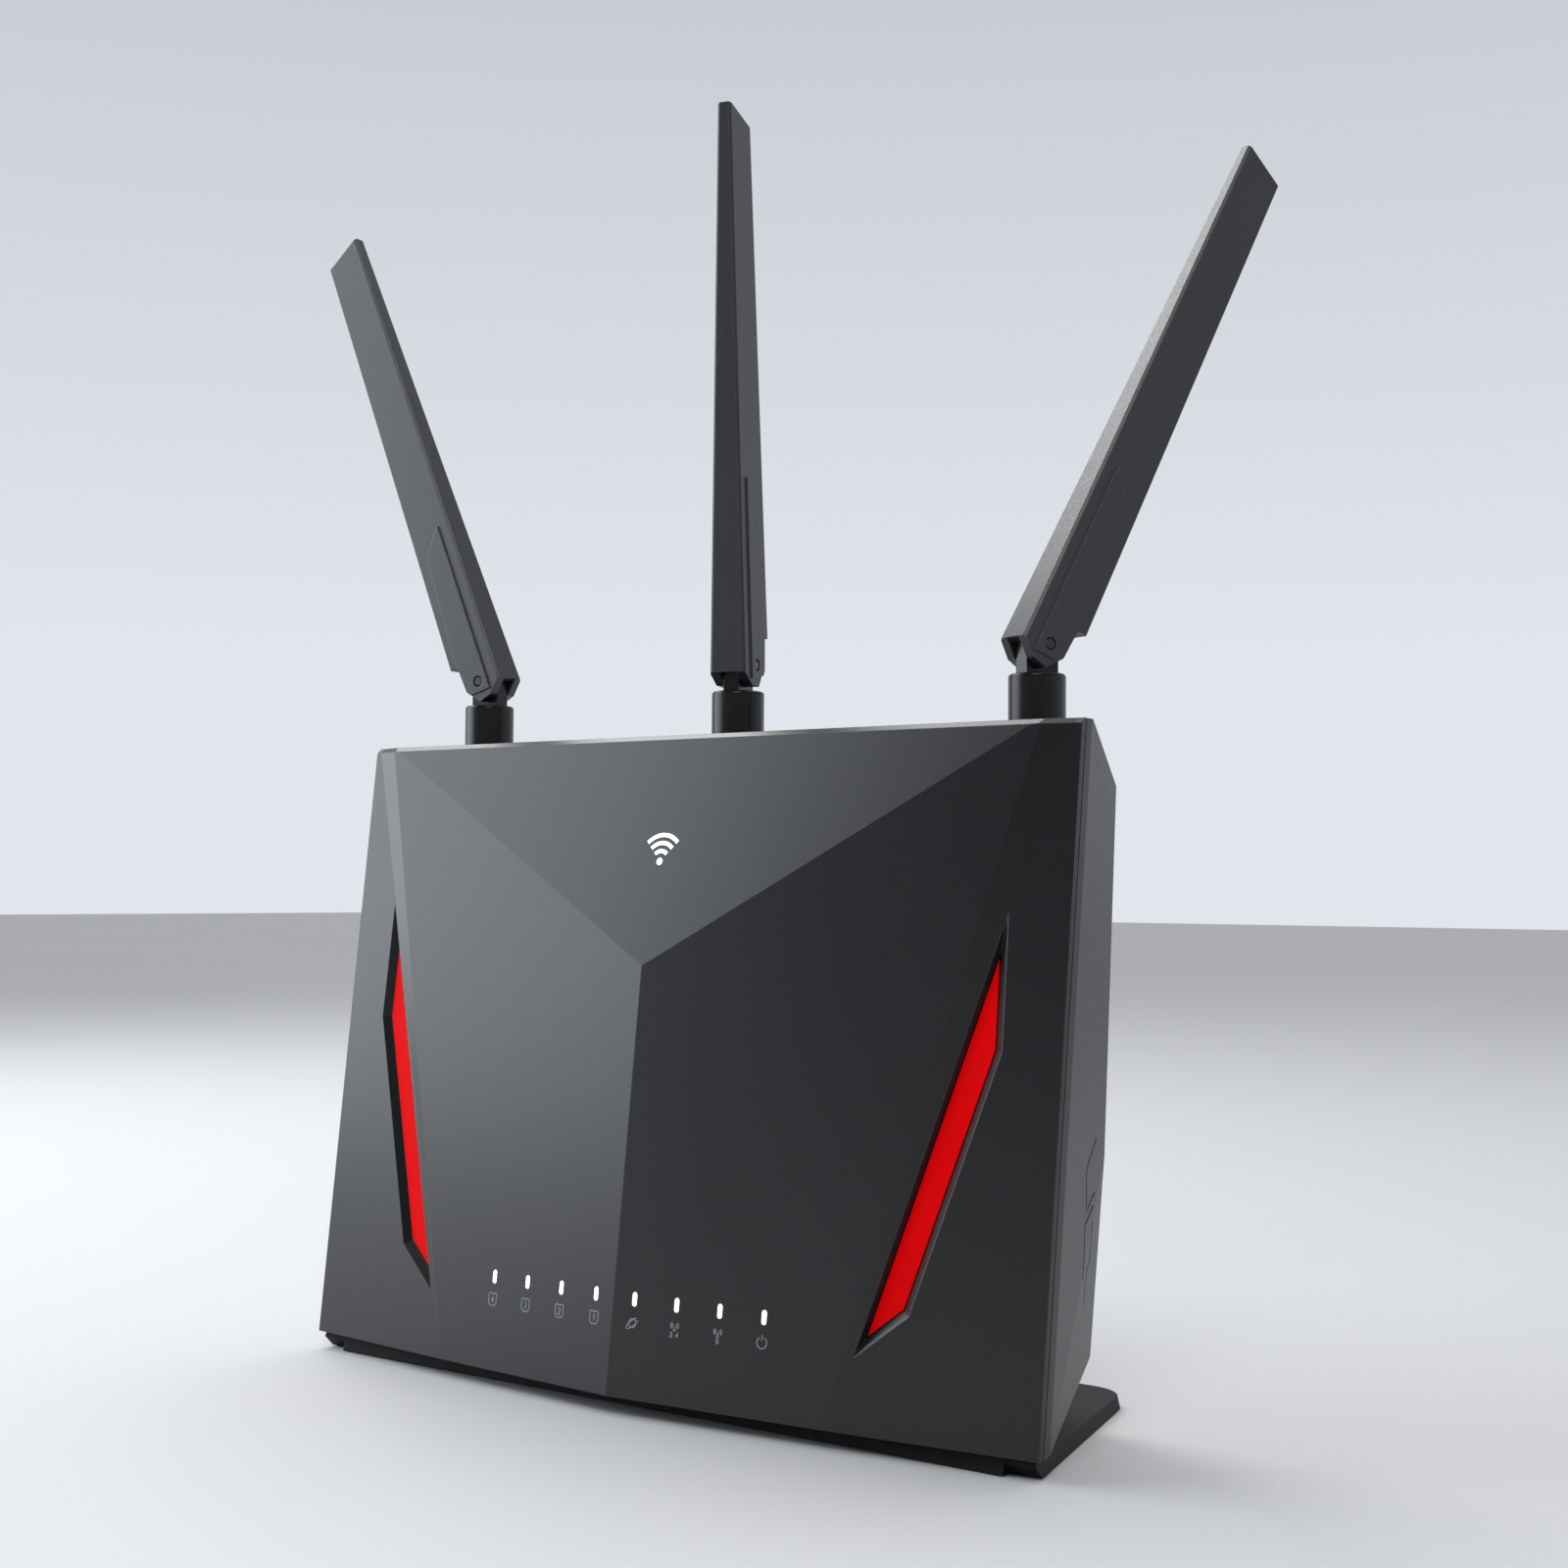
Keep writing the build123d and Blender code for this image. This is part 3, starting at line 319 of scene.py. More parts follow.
def coat_nodes(material, *names):
    """Gives whole pieces of the frame one finish."""
    for name in names:
        mesh = nodes[name].data
        mesh.materials.clear()
        mesh.materials.append(material)


def coat_faces(material, name, wanted):
    """Gives a finish to the faces of one piece whose middle passes a test."""
    mesh = nodes[name].data
    mesh.materials.append(material)
    index = len(mesh.materials) - 1
    for face in mesh.polygons:
        if wanted(face.center):
            face.material_index = index


aerials = ("left", "middle", "right")


# ---- building new pieces ----
def new_piece(name, mesh, body, material):
    """Links a finished mesh, gives it its body and its finish."""
    piece = bpy.data.objects.new(name, mesh)
    bpy.context.scene.collection.objects.link(piece)
    mesh.materials.append(material)
    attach(piece, body)
    return piece


def surface_of(name):
    """A frame piece's surface, for laying things on it."""
    tree = bmesh.new()
    tree.from_mesh(nodes[name].data)
    found = BVHTree.FromBMesh(tree)
    tree.free()
    return found


def ribbon_rows(points, width, closed):
    """The left and right edges of a drawn line with mitred corners."""
    rows = []
    count = len(points)
    for i, point in enumerate(points):
        point = Vector(point)
        before = Vector(points[i - 1]) if closed or i else None
        after = Vector(points[(i + 1) % count]) if closed or i < count - 1 else None
        first = (point - before).normalized() if before is not None else None
        second = (after - point).normalized() if after is not None else None
        along = ((first or second) + (second or first)).normalized()
        side = Vector((-along.y, along.x))
        turn = max(0.4, abs(along.dot(first or second)))
        rows.append((point + side * width / 2 / turn, point - side * width / 2 / turn))
    return rows


def draw_strokes(mesh, strokes, width, lay):
    """Adds drawn lines to a mesh, each corner laid on a surface by the lay function."""
    for points, closed in strokes:
        rows = [[mesh.verts.new(lay(p)) for p in row] for row in ribbon_rows(points, width, closed)]
        pairs = list(zip(rows, rows[1:]))
        if closed:
            pairs.append((rows[-1], rows[0]))
        for (a, b), (c, d) in pairs:
            mesh.faces.new((a, b, d, c))


def arc(x, y, radius, start, end, steps=10):
    """Points on an arc, angles in degrees."""
    angles = [math.radians(start + (end - start) * i / steps) for i in range(steps + 1)]
    return [(x + radius * math.cos(a), y + radius * math.sin(a)) for a in angles]


def ring(x, y, radius, steps=24):
    """A closed circle."""
    return (arc(x, y, radius, 0, 360 * (steps - 1) / steps, steps - 1), True)


DIGITS = {
    "1": [([(-0.10, 0.18), (0.04, 0.30), (0.04, -0.30)], False)],
    "2": [(arc(0, 0.13, 0.17, 160, -30, 6) + [(-0.17, -0.30), (0.19, -0.30)], False)],
    "3": [(arc(0, 0.14, 0.15, 150, -80, 6), False), (arc(0, -0.15, 0.16, 80, -150, 6), False)],
    "4": [([(0.08, -0.30), (0.08, 0.30), (-0.19, -0.08), (0.20, -0.08)], False)],
    "5": [([(0.17, 0.29), (-0.12, 0.29), (-0.14, 0.03)] + arc(0, -0.11, 0.18, 120, -140, 8), False)],
    ".": [([(-0.03, -0.30), (0.03, -0.30)], False)],
}


def numeral(text, x, y, size):
    """A row of plain numerals."""
    strokes = []
    advance = 0.52
    for i, sign in enumerate(text):
        left = x + (i - (len(text) - 1) / 2) * advance * size
        for points, closed in DIGITS[sign]:
            strokes.append(([(left + px * size, y + py * size) for px, py in points], closed))
    return strokes


def port_sign(number):
    """A numeral in a socket-shaped outline."""
    half, top, low, nick = 0.44, 0.50, -0.50, 0.16
    outline = [
        (-half + 0.10, top), (-nick, top), (-nick + 0.06, top - 0.08), (nick - 0.06, top - 0.08),
        (nick, top), (half - 0.10, top), (half, top - 0.10), (half, low + 0.22),
        (half - 0.20, low), (-half + 0.20, low), (-half, low + 0.22), (-half, top - 0.10),
    ]
    return [(outline, True)] + numeral(number, 0, -0.03, 0.72)


def orbit_sign():
    """A globe with a tilted ring round it."""
    tilt = math.radians(38)
    ellipse = []
    for px, py in arc(0, 0, 1, 35, 325, 22):
        x, y = 0.66 * px, 0.20 * py
        ellipse.append((x * math.cos(tilt) - y * math.sin(tilt), x * math.sin(tilt) + y * math.cos(tilt)))
    return [ring(0, 0, 0.33), (ellipse, False)]


def mast_sign(text):
    """A small mast with waves on both sides, over the band's number."""
    strokes = [([(0, -0.02), (0, 0.24)], False), ([(-0.12, -0.16), (0, 0.10), (0.12, -0.16)], False)]
    for radius in (0.20, 0.34):
        strokes.append((arc(0, 0.28, radius, -42, 42, 5), False))
        strokes.append((arc(0, 0.28, radius, 138, 222, 5), False))
    return strokes + numeral(text, 0, -0.42, 0.52)


def power_sign():
    """An open ring with a bar."""
    return [(arc(0, -0.04, 0.42, 122, 418, 20), False), ([(0, 0.10), (0, 0.52)], False)]


def bulb_sign():
    """A lamp with three rays."""
    rays = [([(0.42 * math.cos(a), 0.42 * math.sin(a)), (0.60 * math.cos(a), 0.60 * math.sin(a))], False)
            for a in (math.radians(40), math.radians(90), math.radians(140))]
    return [ring(0, 0, 0.26, 18), ([(-0.12, -0.38), (0.12, -0.38)], False)] + rays


def plug_sign():
    """A round power plug: a pin in an open ring."""
    return [ring(0, 0, 0.10, 10), (arc(0, 0, 0.30, -140, 140, 16), False), ([(-0.62, 0), (-0.10, 0)], False)]


def turn_sign():
    """Two arrows chasing each other."""
    strokes = []
    for start in (20, 200):
        strokes.append((arc(0, 0, 0.38, start, start + 140, 12), False))
        tip = math.radians(start + 140)
        end = Vector((0.38 * math.cos(tip), 0.38 * math.sin(tip)))
        along = Vector((-math.sin(tip), math.cos(tip)))
        side = Vector((math.cos(tip), math.sin(tip)))
        strokes.append(([tuple(end - along * 0.16 + side * 0.16), tuple(end + along * 0.04),
                         tuple(end - along * 0.16 - side * 0.16)], False))
    return strokes


def light_tips():
    """The middle of each light's visible end, from left to right."""
    groups = {}
    count = 8
    pitch = (light_high.x - light_low.x - 5 * MM) / (count - 1)
    for vertex in nodes["light_guide"].data.vertices:
        slot_number = round(vertex.co.x / pitch + (count - 1) / 2)
        groups.setdefault(slot_number, []).append(vertex.co)
    tips = []
    for slot_number in sorted(groups):
        points = sorted(groups[slot_number], key=lambda p: p.y)
        near = [p for p in points if p.y < points[0].y + 0.8 * MM]
        tips.append(sum(near, Vector()) / len(near))
    return tips


def lay_on(surface, origin, across, upwards, aim, lift):
    """A function that lays a drawn point on a surface, just above it."""
    def lay(point):
        start = origin + across * point[0] + upwards * point[1] - aim * 30 * MM
        place, normal, _, _ = surface.ray_cast(start, aim)
        if place is None:
            raise ValueError("a sign misses the surface that it is printed on")
        if normal.dot(aim) > 0:
            normal = -normal
        return place + normal * lift
    return lay


def scaled(strokes, size):
    """Drawn lines brought to their real size."""
    return [([(x * size, y * size) for x, y in points], closed) for points, closed in strokes]


# ---- operators ----
class ROUTER_OT_covers(Operator):
    """Give the covers and the stand their charcoal plastic"""

    bl_idname = "router.covers"
    bl_label = "Covers and Stand"

    def execute(self, context):
        shell = context.scene.router_shell
        front = finish(
            "satin_front_plastic", shell.colour, shell.roughness, grain=shell.grain,
            depth=shell.grain_depth * 0.35, mottle=0.05, gloss_spread=0.025,
            edge=shell.edge_radius, wear=shell.edge_wear, patch=0.03,
        )
        sides = finish(
            "grained_side_plastic", shell.side_colour, shell.side_roughness, grain=shell.grain,
            depth=shell.grain_depth, mottle=0.09, gloss_spread=0.06,
            edge=shell.edge_radius, wear=shell.edge_wear, patch=0.02,
        )
        foot = finish(
            "stand_plastic", shell.colour, shell.side_roughness * 1.3, grain=shell.grain,
            depth=shell.grain_depth * 0.5, mottle=0.07, gloss_spread=0.04,
            edge=shell.edge_radius * 1.3, wear=shell.edge_wear * 0.5, patch=0.02, specular=0.12,
        )
        rubber = finish(
            "foot_rubber", (0.018, 0.018, 0.018), 0.8, grain=0.4 * MM, depth=0.02 * MM,
            mottle=0.15, gloss_spread=0.08, edge=0.3 * MM, wear=0.2, specular=0.35,
        )
        coat_nodes(front, "front_cover")
        coat_nodes(sides, "rear_cover")
        coat_nodes(foot, "stand_base")
        coat_nodes(rubber, "rubber_feet")
        return {"FINISHED"}


class ROUTER_OT_trim(Operator):
    """Give the accents, the emblem, the lights and the buttons their finishes"""

    bl_idname = "router.trim"
    bl_label = "Accents, Emblem and Lights"

    def execute(self, context):
        trim = context.scene.router_trim
        shell = context.scene.router_shell
        red = finish(
            "red_accent_lacquer", trim.accent_colour, 0.55, grain=0.3 * MM, depth=0.002 * MM,
            mottle=0.03, gloss_spread=0.03, specular=0.04,
        )
        metal = finish(
            "emblem_metal", trim.emblem_colour, 0.26, metallic=0.6, grain=0.12 * MM,
            depth=0.002 * MM, mottle=0.05, gloss_spread=0.06, edge=0.15 * MM, wear=0.3,
            stretch=(1, 8, 8),
        )
        lamp = finish(
            "light_guide_acrylic", trim.light_colour, 0.3, grain=0.3 * MM, depth=0.002 * MM,
            mottle=0.03, gloss_spread=0.05,
        )
        lamp_shader = lamp.node_tree.nodes["Principled BSDF"]
        lamp_shader.inputs["Emission Color"].default_value = tint(trim.light_colour, 1.0)
        lamp_shader.inputs["Emission Strength"].default_value = trim.light_glow
        keys = finish(
            "button_plastic", shell.side_colour, 0.36, grain=0.35 * MM, depth=0.008 * MM,
            mottle=0.08, gloss_spread=0.05, edge=0.3 * MM, wear=shell.edge_wear,
        )
        pale_key = finish(
            "reset_plastic", (0.35, 0.36, 0.37), 0.4, grain=0.3 * MM, depth=0.005 * MM,
            edge=0.15 * MM, wear=0.2,
        )
        coat_nodes(red, "left_accent", "right_accent")
        coat_nodes(metal, "front_emblem")
        coat_nodes(lamp, "light_guide")
        coat_nodes(keys, "power_button", "lights_button", "pairing_button", "wireless_button")
        coat_nodes(pale_key, "reset_button")
        return {"FINISHED"}


class ROUTER_OT_aerials(Operator):
    """Give the aerials, their sleeves and pins their finishes"""

    bl_idname = "router.aerials"
    bl_label = "Aerials"

    def execute(self, context):
        shell = context.scene.router_shell
        blade = finish(
            "aerial_plastic", shell.side_colour, shell.side_roughness, grain=shell.grain,
            depth=shell.grain_depth, mottle=0.09, gloss_spread=0.06,
            edge=shell.edge_radius, wear=shell.edge_wear * 1.6, patch=0.018, specular=0.65,
        )
        glossy = finish(
            "sleeve_plastic", shell.colour, 0.26, grain=0.3 * MM, depth=0.002 * MM,
            mottle=0.06, gloss_spread=0.03, edge=0.3 * MM, wear=shell.edge_wear * 0.6, specular=0.3,
        )
        pin = finish(
            "pin_plastic", shell.side_colour, 0.3, grain=0.3 * MM, depth=0.004 * MM,
            edge=0.2 * MM, wear=shell.edge_wear,
        )
        laminate = finish(
            "element_laminate", (0.01, 0.10, 0.04), 0.35, grain=0.5 * MM, depth=0.004 * MM, mottle=0.2,
        )
        for name in aerials:
            coat_nodes(blade, f"{name}_aerial_blade", f"{name}_aerial_back_strip")
            coat_nodes(glossy, f"{name}_aerial_sleeve")
            coat_nodes(pin, f"{name}_aerial_pin")
            coat_nodes(laminate, f"{name}_aerial_element")
        return {"FINISHED"}


class ROUTER_OT_insides(Operator):
    """Give the sockets, the screws and everything on the board their finishes"""

    bl_idname = "router.insides"
    bl_label = "Sockets, Screws and Board"

    def execute(self, context):
        trim = context.scene.router_trim
        steel = finish(
            "screw_steel", (0.40, 0.40, 0.42), 0.32, metallic=1.0, grain=0.15 * MM,
            depth=0.003 * MM, mottle=0.12, gloss_spread=0.10, edge=0.12 * MM, wear=0.5,
        )
        tin = finish(
            "can_steel", (0.70, 0.70, 0.69), 0.30, metallic=1.0, grain=0.2 * MM,
            depth=0.002 * MM, mottle=0.08, gloss_spread=0.10, stretch=(1, 1, 10), edge=0.1 * MM, wear=0.3,
        )
        alloy = finish(
            "sink_aluminium", (0.80, 0.81, 0.83), 0.38, metallic=1.0, grain=0.2 * MM,
            depth=0.004 * MM, mottle=0.06, gloss_spread=0.10, stretch=(8, 8, 1),
        )
        brass = finish(
            "jack_brass", (0.83, 0.64, 0.30), 0.28, metallic=1.0, grain=0.2 * MM,
            depth=0.003 * MM, mottle=0.08, gloss_spread=0.08, edge=0.15 * MM, wear=0.3,
        )
        gold = finish(
            "contact_gold", trim.gold_colour, 0.2, metallic=1.0, grain=0.2 * MM,
            depth=0.001 * MM, mottle=0.05, gloss_spread=0.06,
        )
        mask = finish(
            "board_laminate", (0.008, 0.075, 0.030), 0.32, grain=0.6 * MM, depth=0.010 * MM,
            mottle=0.30, gloss_spread=0.08, patch=0.004,
        )
        epoxy = finish(
            "chip_epoxy", (0.025, 0.025, 0.026), 0.55, grain=0.2 * MM, depth=0.006 * MM,
            edge=0.15 * MM, wear=0.3,
        )
        sleeve = finish(
            "capacitor_sleeve", (0.02, 0.03, 0.07), 0.3, grain=0.3 * MM, depth=0.002 * MM,
            edge=0.3 * MM, wear=0.3,
        )
        lens = finish("led_lens", (0.85, 0.86, 0.74), 0.25, grain=0.3 * MM, depth=0.002 * MM)
        lan = finish(
            "lan_plastic", (0.68, 0.42, 0.02), 0.42, grain=0.3 * MM, depth=0.006 * MM,
            mottle=0.06, edge=0.2 * MM, wear=0.2,
        )
        wan = finish(
            "wan_plastic", (0.025, 0.13, 0.48), 0.42, grain=0.3 * MM, depth=0.006 * MM,
            mottle=0.06, edge=0.2 * MM, wear=0.2,
        )
        black = finish(
            "socket_plastic", (0.018, 0.018, 0.019), 0.4, grain=0.3 * MM, depth=0.006 * MM,
            edge=0.2 * MM, wear=0.35,
        )
        jacket = finish(
            "lead_jacket", (0.03, 0.03, 0.03), 0.45, grain=0.3 * MM, depth=0.006 * MM, mottle=0.15,
        )
        film = finish(
            "label_film", (0.30, 0.31, 0.32), 0.5, grain=0.25 * MM, depth=0.002 * MM, mottle=0.05,
            edge=0.2 * MM, wear=0.2,
        )
        coat_nodes(steel, "housing_screws", "stand_screws", "board_screws")
        coat_nodes(tin, "shield_cans", "usb_sockets")
        coat_nodes(alloy, "processor_heat_sink", "radio_heat_sink")
        coat_nodes(brass, "aerial_jacks", "jack_nuts")
        coat_nodes(gold, "board_connectors")
        coat_nodes(mask, "main_board")
        coat_nodes(epoxy, "processor_chip", "radio_chip", "memory_chips", "network_magnetics")
        coat_nodes(sleeve, "capacitors")
        coat_nodes(lens, "status_leds")
        coat_nodes(lan, "lan_jack_block")
        coat_nodes(wan, "wan_jack")
        coat_nodes(black, "power_inlet", "side_switches", "power_switch", "lights_switch", "reset_switch")
        coat_nodes(jacket, "aerial_leads")
        coat_nodes(film, "rating_label")
        low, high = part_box("usb_sockets")
        middle = (low.z + high.z) / 2
        skin = 0.6 * MM
        tongue_start = 8 * MM

        def on_tongue(point):
            within = low.y + tongue_start < point.y < high.y - 0.3 * MM
            return within and middle - 0.4 * MM < point.z < high.z - skin - 0.5 * MM

        coat_faces(black, "usb_sockets", on_tongue)
        low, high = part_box("power_inlet")
        centre = (low + high) / 2

        def on_pin(point):
            across = math.hypot(point.x - centre.x, point.z - centre.z)
            return across < 1.05 * MM and point.y > low.y + 8 * MM

        coat_faces(brass, "power_inlet", on_pin)
        return {"FINISHED"}


class ROUTER_OT_signs(Operator):
    """Print the signs under the status lights and above the sockets"""

    bl_idname = "router.signs"
    bl_label = "Printed Signs"

    def execute(self, context):
        signs = context.scene.router_signs
        trim = context.scene.router_trim
        ink = finish(
            "sign_ink", trim.ink_colour, 0.55, grain=0.15 * MM, depth=0.002 * MM, mottle=0.10,
            patch=0.001,
        )
        front = surface_of("front_cover")
        across = Vector((1, 0, 0))
        rise = Vector((0, cover_high.y - cover_low.y, cover_high.z - cover_low.z)).normalized()
        drawings = [
            ("sign_port_4", port_sign("4")), ("sign_port_3", port_sign("3")),
            ("sign_port_2", port_sign("2")), ("sign_port_1", port_sign("1")),
            ("sign_globe", orbit_sign()), ("sign_band_low", mast_sign("2.4")),
            ("sign_band_high", mast_sign("5")), ("sign_power", power_sign()),
        ]
        for tip, (name, strokes) in zip(light_tips(), drawings):
            centre = tip - rise * signs.drop
            lay = lay_on(front, centre, across, rise, Vector((0, 1, 0)), signs.film)
            self.print_sign(name, scaled(strokes, signs.height), signs.stroke, lay, signs.film, ink)
        rear = surface_of("rear_cover")
        rise_above_mouth = 7.5 * MM
        numeral_size = 1.3
        for number, entry in enumerate(frame["record"]["physics"]["openings"], 1):
            (x0, _, _), (x1, _, z1) = entry["box_m"]
            above = z1 + rise_above_mouth
            strokes = orbit_sign() if "wan" in entry["name"] else numeral(str(number), 0, 0, numeral_size)
            self.rear_sign(rear, f"sign_{entry['name']}", strokes, (x0 + x1) / 2, above, ink)
        for node_name, strokes in (
            ("power_button", power_sign()), ("power_inlet", plug_sign()),
            ("lights_button", bulb_sign()), ("reset_button", turn_sign()),
        ):
            low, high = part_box(node_name)
            self.rear_sign(rear, f"sign_at_{node_name}", strokes, (low.x + high.x) / 2, above, ink)
        return {"FINISHED"}

    def rear_sign(self, surface, name, strokes, x, z, ink):
        """Prints a sign on the back wall; its right is the back wall's right, seen from behind."""
        signs = bpy.context.scene.router_signs
        lay = lay_on(
            surface, Vector((x, rear_high.y, z)), Vector((-1, 0, 0)), Vector((0, 0, 1)),
            Vector((0, -1, 0)), signs.film,
        )
        self.print_sign(name, scaled(strokes, signs.rear_height), signs.stroke * 1.25, lay, signs.film, ink)

    def print_sign(self, name, strokes, width, lay, thickness, ink):
        """Turns drawn lines into a thin layer of ink."""
        drawn = bmesh.new()
        draw_strokes(drawn, strokes, width, lay)
        bmesh.ops.recalc_face_normals(drawn, faces=drawn.faces)
        mesh = bpy.data.meshes.new(name)
        drawn.to_mesh(mesh)
        drawn.free()
        piece = new_piece(name, mesh, "housing", ink)
        layer = piece.modifiers.new("Ink thickness", "SOLIDIFY")
        layer.thickness = thickness * 0.7
        layer.offset = 0.0


class ROUTER_OT_contacts(Operator):
    """Put the gold spring contacts into the network jacks and the USB sockets"""

    bl_idname = "router.contacts"
    bl_label = "Socket Contacts"

    def execute(self, context):
        signs = context.scene.router_signs
        gold = bpy.data.materials["contact_gold"]
        for entry in frame["record"]["physics"]["openings"]:
            self.springs(entry, signs.contacts, gold)
        low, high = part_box("usb_sockets")
        pads = bmesh.new()
        middle = (low.x + high.x) / 2
        half_pitch = (high.x - low.x) / 2 - 6.6 * MM
        for centre in (middle - half_pitch, middle + half_pitch):
            for i in range(4):
                x = centre + (i - 1.5) * 2.3 * MM
                z = (low.z + high.z) / 2 - 0.11 * MM
                self.strip(pads, [(x, high.y - 2.2 * MM, z), (x, high.y - 9 * MM, z)], 1.1 * MM, 0.10 * MM)
        mesh = bpy.data.meshes.new("usb_contacts")
        pads.to_mesh(mesh)
        pads.free()
        new_piece("usb_contacts", mesh, "housing", gold)
        return {"FINISHED"}

    def springs(self, entry, count, gold):
        """Sloping spring wires under the roof of one network jack."""
        (x0, y0, z0), (x1, y1, z1) = entry["box_m"]
        wires = bmesh.new()
        pitch = 1.02 * MM
        roof = z1 + 0.2 * MM
        for i in range(count):
            x = (x0 + x1) / 2 + (i - (count - 1) / 2) * pitch
            path = [
                (x, y1 - 4.0 * MM, roof - 0.5 * MM), (x, y1 - 3.4 * MM, roof - 0.35 * MM),
                (x, y1 - 3.9 * MM, roof - 0.9 * MM), (x, y0 + 4.5 * MM, z1 - 3.4 * MM),
                (x, y0 + 1.6 * MM, z1 - 3.9 * MM),
            ]
            self.strip(wires, path, 0.42 * MM, 0.24 * MM)
        name = f"contacts_{entry['name']}"
        mesh = bpy.data.meshes.new(name)
        wires.to_mesh(mesh)
        wires.free()
        new_piece(name, mesh, "housing", gold)

    def strip(self, mesh, path, wide, thick):
        """A flat metal strip that follows a path in one upright plane."""
        rows = []
        for i, point in enumerate(path):
            point = Vector(point)
            ahead = Vector(path[min(i + 1, len(path) - 1)]) - Vector(path[max(i - 1, 0)])
            side = Vector((1, 0, 0)) * wide / 2
            lift = ahead.normalized().cross(Vector((1, 0, 0))) * thick / 2
            rows.append([mesh.verts.new(point + a * side + b * lift)
                         for a, b in ((-1, -1), (1, -1), (1, 1), (-1, 1))])
        for first, second in zip(rows, rows[1:]):
            for i in range(4):
                j = (i + 1) % 4
                mesh.faces.new((first[i], first[j], second[j], second[i]))
        mesh.faces.new(rows[0][::-1])
        mesh.faces.new(rows[-1])


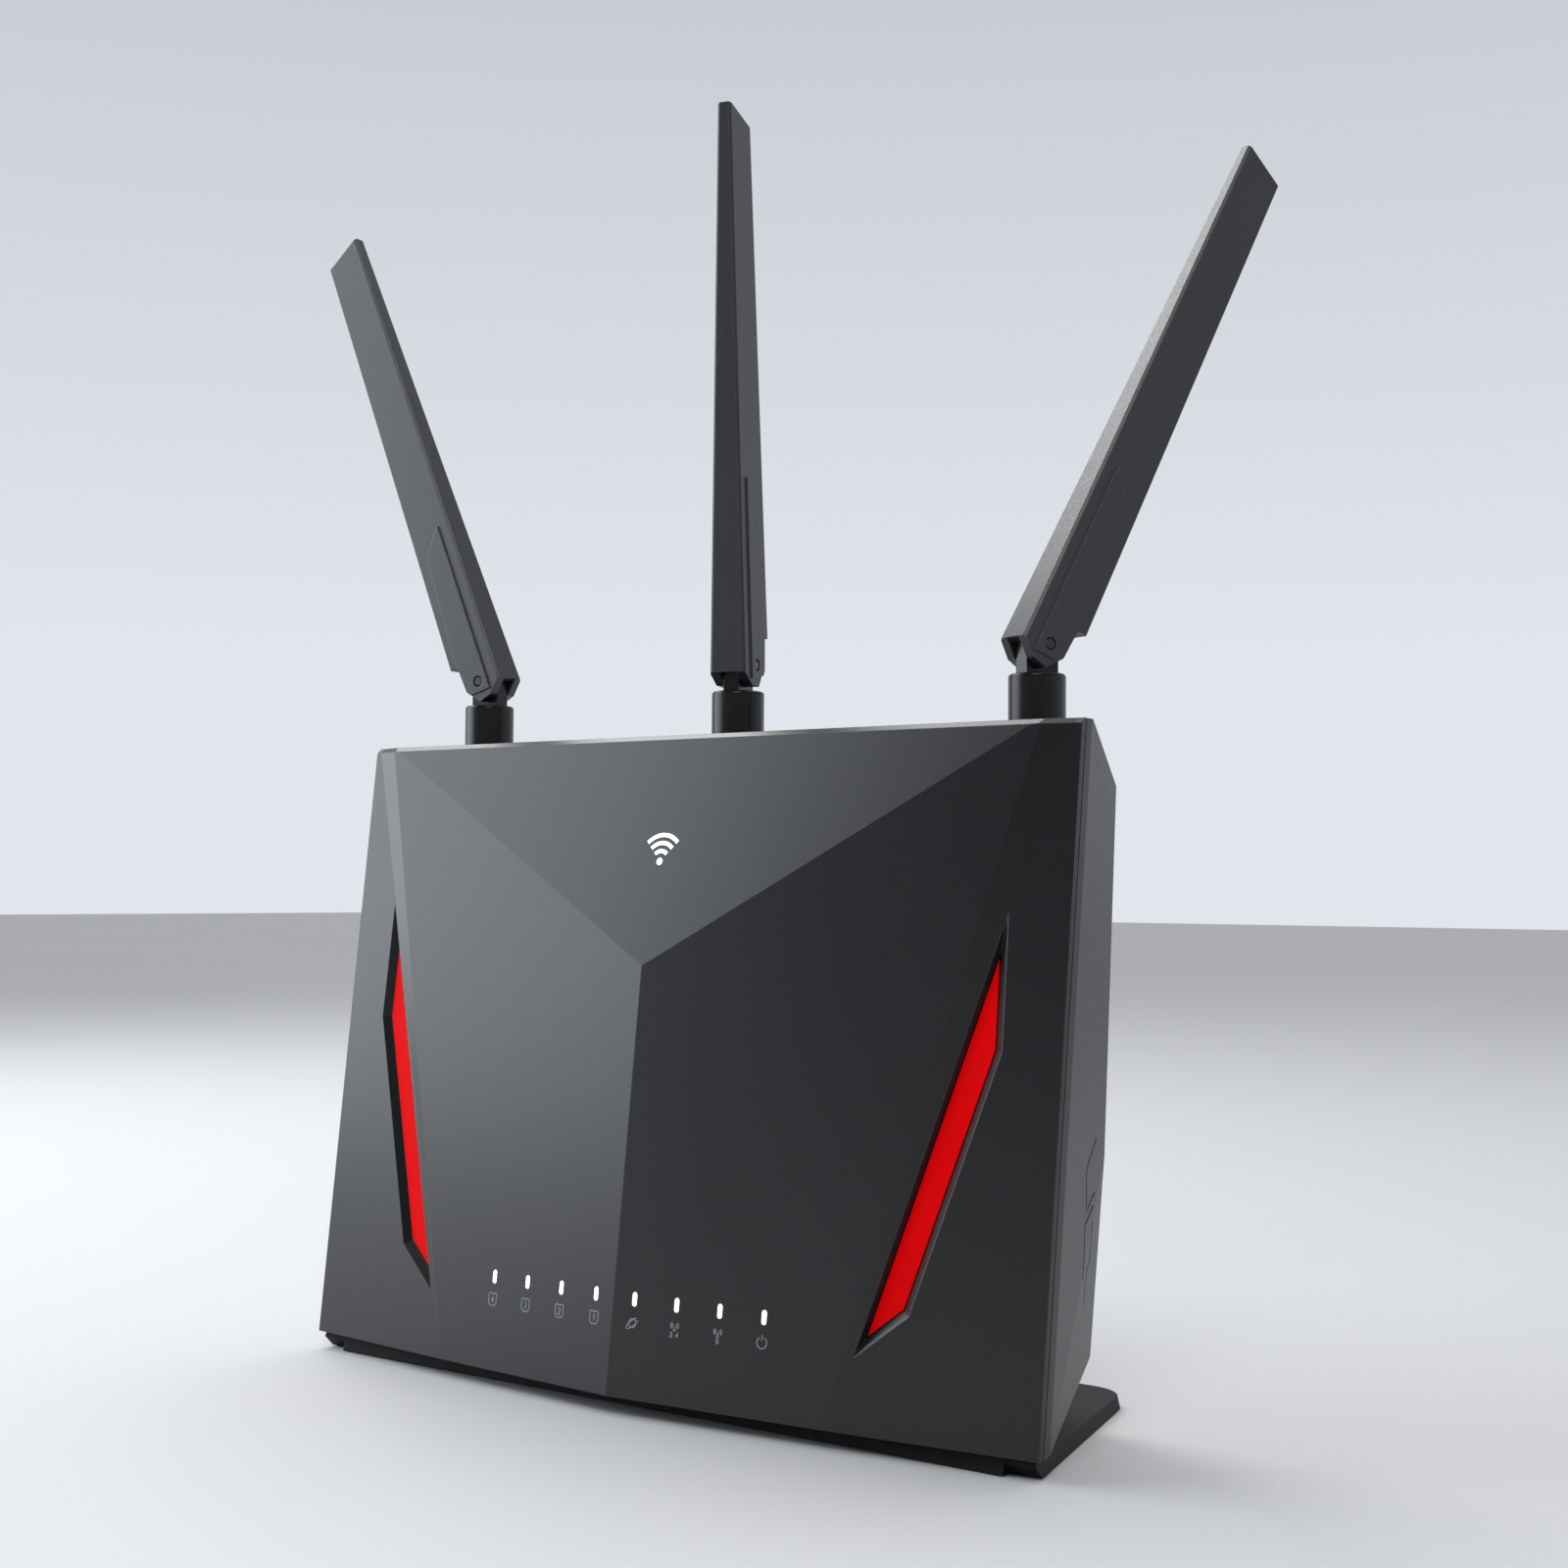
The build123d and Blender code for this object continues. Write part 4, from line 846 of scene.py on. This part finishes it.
class ROUTER_OT_stage(Operator):
    """Set up the pale floor, the soft lamps and the camera"""

    bl_idname = "router.stage"
    bl_label = "Stage"

    def execute(self, context):
        stage = context.scene.router_stage
        half = stage.floor_size / 2
        mesh = bpy.data.meshes.new("floor")
        mesh.from_pydata(
            [(-half, -half, 0), (half, -half, 0), (half, half, 0), (-half, half, 0)], [], [(0, 1, 2, 3)],
        )
        floor = bpy.data.objects.new("floor", mesh)
        context.scene.collection.objects.link(floor)
        mesh.materials.append(finish("pale_floor", stage.floor_colour, 0.75, mottle=0.01, patch=0.5))
        cool_white = (0.88, 0.94, 1.0)
        side = self.lamp("side_lamp", stage.key_power, 1.0, -63, 19, 1.25)
        side.data.color = cool_white
        self.lamp("rim_lamp", stage.rim_power, 0.6, -108, 48, 1.3)
        self.lamp("fill_lamp", stage.fill_power, 0.5, 32, 46, 1.2)
        self.sky_lamp("top_lamp", stage.top_power)
        self.surroundings(context.scene)
        self.camera(context.scene, stage)
        context.scene.view_settings.view_transform = "Standard"
        return {"FINISHED"}

    def lamp(self, name, power, size, azimuth, elevation, distance):
        """A square soft lamp aimed at the router, placed by its direction from the front."""
        data = bpy.data.lights.new(name, "AREA")
        data.energy = power
        data.shape = "SQUARE"
        data.size = size
        lamp = bpy.data.objects.new(name, data)
        turn, rise = math.radians(azimuth), math.radians(elevation)
        out = Vector((math.sin(turn) * math.cos(rise), -math.cos(turn) * math.cos(rise), math.sin(rise)))
        target = Vector((0, 0, (cad_box[0].z + cad_box[1].z) / 2))
        lamp.location = target + out * distance
        lamp.rotation_euler = out.to_track_quat("Z", "Y").to_euler()
        lamp.visible_camera = False
        bpy.context.scene.collection.objects.link(lamp)
        return lamp

    def sky_lamp(self, name, strength):
        """A very wide soft lamp high above and a little behind the router."""
        data = bpy.data.lights.new(name, "SUN")
        data.energy = strength
        spread_angle = 50
        data.angle = math.radians(spread_angle)
        lamp = bpy.data.objects.new(name, data)
        out = Vector((-0.15, 0.45, 1.0))
        lamp.rotation_euler = out.to_track_quat("Z", "Y").to_euler()
        bpy.context.scene.collection.objects.link(lamp)

    def surroundings(self, scene):
        """A plain room: dim in front of the router and overhead, pale behind it and at the horizon."""
        dim = (0.02, 0.022, 0.025, 1)
        bright = (0.76, 0.79, 0.84, 1)
        towards_back = (-0.17, 0.98, 0.0)
        world = bpy.data.worlds.new("room")
        scene.world = world
        world.use_nodes = True
        tree = world.node_tree
        backdrop = tree.nodes["Background"]
        place = tree.nodes.new("ShaderNodeTexCoord").outputs["Generated"]
        away = tree.nodes.new("ShaderNodeVectorMath")
        away.operation = "DOT_PRODUCT"
        away.inputs[1].default_value = towards_back
        tree.links.new(place, away.inputs[0])
        pale = spread(tree, away.outputs["Value"], 0.0, 1.0, -0.95, 0.25)
        axes = tree.nodes.new("ShaderNodeSeparateXYZ")
        tree.links.new(place, axes.inputs["Vector"])
        horizon = spread(tree, axes.outputs["Z"], 1.0, 0.0, 0.03, 0.14)
        paler = tree.nodes.new("ShaderNodeMath")
        paler.operation = "MAXIMUM"
        tree.links.new(pale, paler.inputs[0])
        tree.links.new(horizon, paler.inputs[1])
        colour = blend_colours(tree, paler.outputs["Value"], dim, bright)
        above = spread(tree, axes.outputs["Z"], 0.0, 0.65, 0.10, 0.85)
        colour = blend_colours(tree, above, colour, dim)
        tree.links.new(colour, backdrop.inputs["Color"])
        backdrop.inputs["Strength"].default_value = 1.0

    def camera(self, scene, stage):
        """The camera, from its place, turn, tilt and roll."""
        turn, tilt, roll = stage.camera_aim
        ahead = Vector((-math.sin(turn) * math.cos(tilt), math.cos(turn) * math.cos(tilt), math.sin(tilt)))
        right = ahead.cross(Vector((0, 0, 1))).normalized()
        above = right.cross(ahead)
        rolled_right = right * math.cos(roll) + above * math.sin(roll)
        rolled_above = above * math.cos(roll) - right * math.sin(roll)
        data = bpy.data.cameras.new("camera")
        data.lens = stage.lens
        data.sensor_width = 36
        data.clip_start = 0.01
        camera = bpy.data.objects.new("camera", data)
        scene.collection.objects.link(camera)
        matrix = Matrix((rolled_right, rolled_above, -ahead)).transposed().to_4x4()
        matrix.translation = Vector(stage.camera_place)
        camera.matrix_world = matrix
        scene.camera = camera


class ROUTER_PT_panel(Panel):
    """Lists the router's pieces, sizes and colours"""

    bl_idname = "ROUTER_PT_panel"
    bl_label = "Wireless Router"
    bl_space_type = "VIEW_3D"
    bl_region_type = "UI"
    bl_category = "Router"

    def draw(self, context):
        for group in ("router_shell", "router_trim", "router_signs", "router_stage"):
            settings = getattr(context.scene, group)
            box = self.layout.box()
            for name in type(settings).__annotations__:
                box.prop(settings, name)
        for operator in operators:
            self.layout.operator(operator.bl_idname)


groups = (
    ("router_shell", RouterShell), ("router_trim", RouterTrim),
    ("router_signs", RouterSigns), ("router_stage", RouterStage),
)
operators = (
    ROUTER_OT_covers, ROUTER_OT_trim, ROUTER_OT_aerials, ROUTER_OT_insides,
    ROUTER_OT_signs, ROUTER_OT_contacts, ROUTER_OT_stage,
)


def register():
    """Registers the settings, the operators and the panel."""
    for name, group in groups:
        bpy.utils.register_class(group)
        setattr(bpy.types.Scene, name, PointerProperty(type=group))
    for cls in operators + (ROUTER_PT_panel,):
        bpy.utils.register_class(cls)


def unregister():
    """Removes everything that register added."""
    for cls in (ROUTER_PT_panel,) + operators[::-1]:
        bpy.utils.unregister_class(cls)
    for name, group in groups:
        delattr(bpy.types.Scene, name)
        bpy.utils.unregister_class(group)


def main():
    """Registers the add-on and builds the looks in order."""
    register()
    bpy.ops.router.covers()
    bpy.ops.router.trim()
    bpy.ops.router.aerials()
    bpy.ops.router.insides()
    bpy.ops.router.signs()
    bpy.ops.router.contacts()
    bpy.ops.router.stage()


if __name__ == "__main__":
    main()
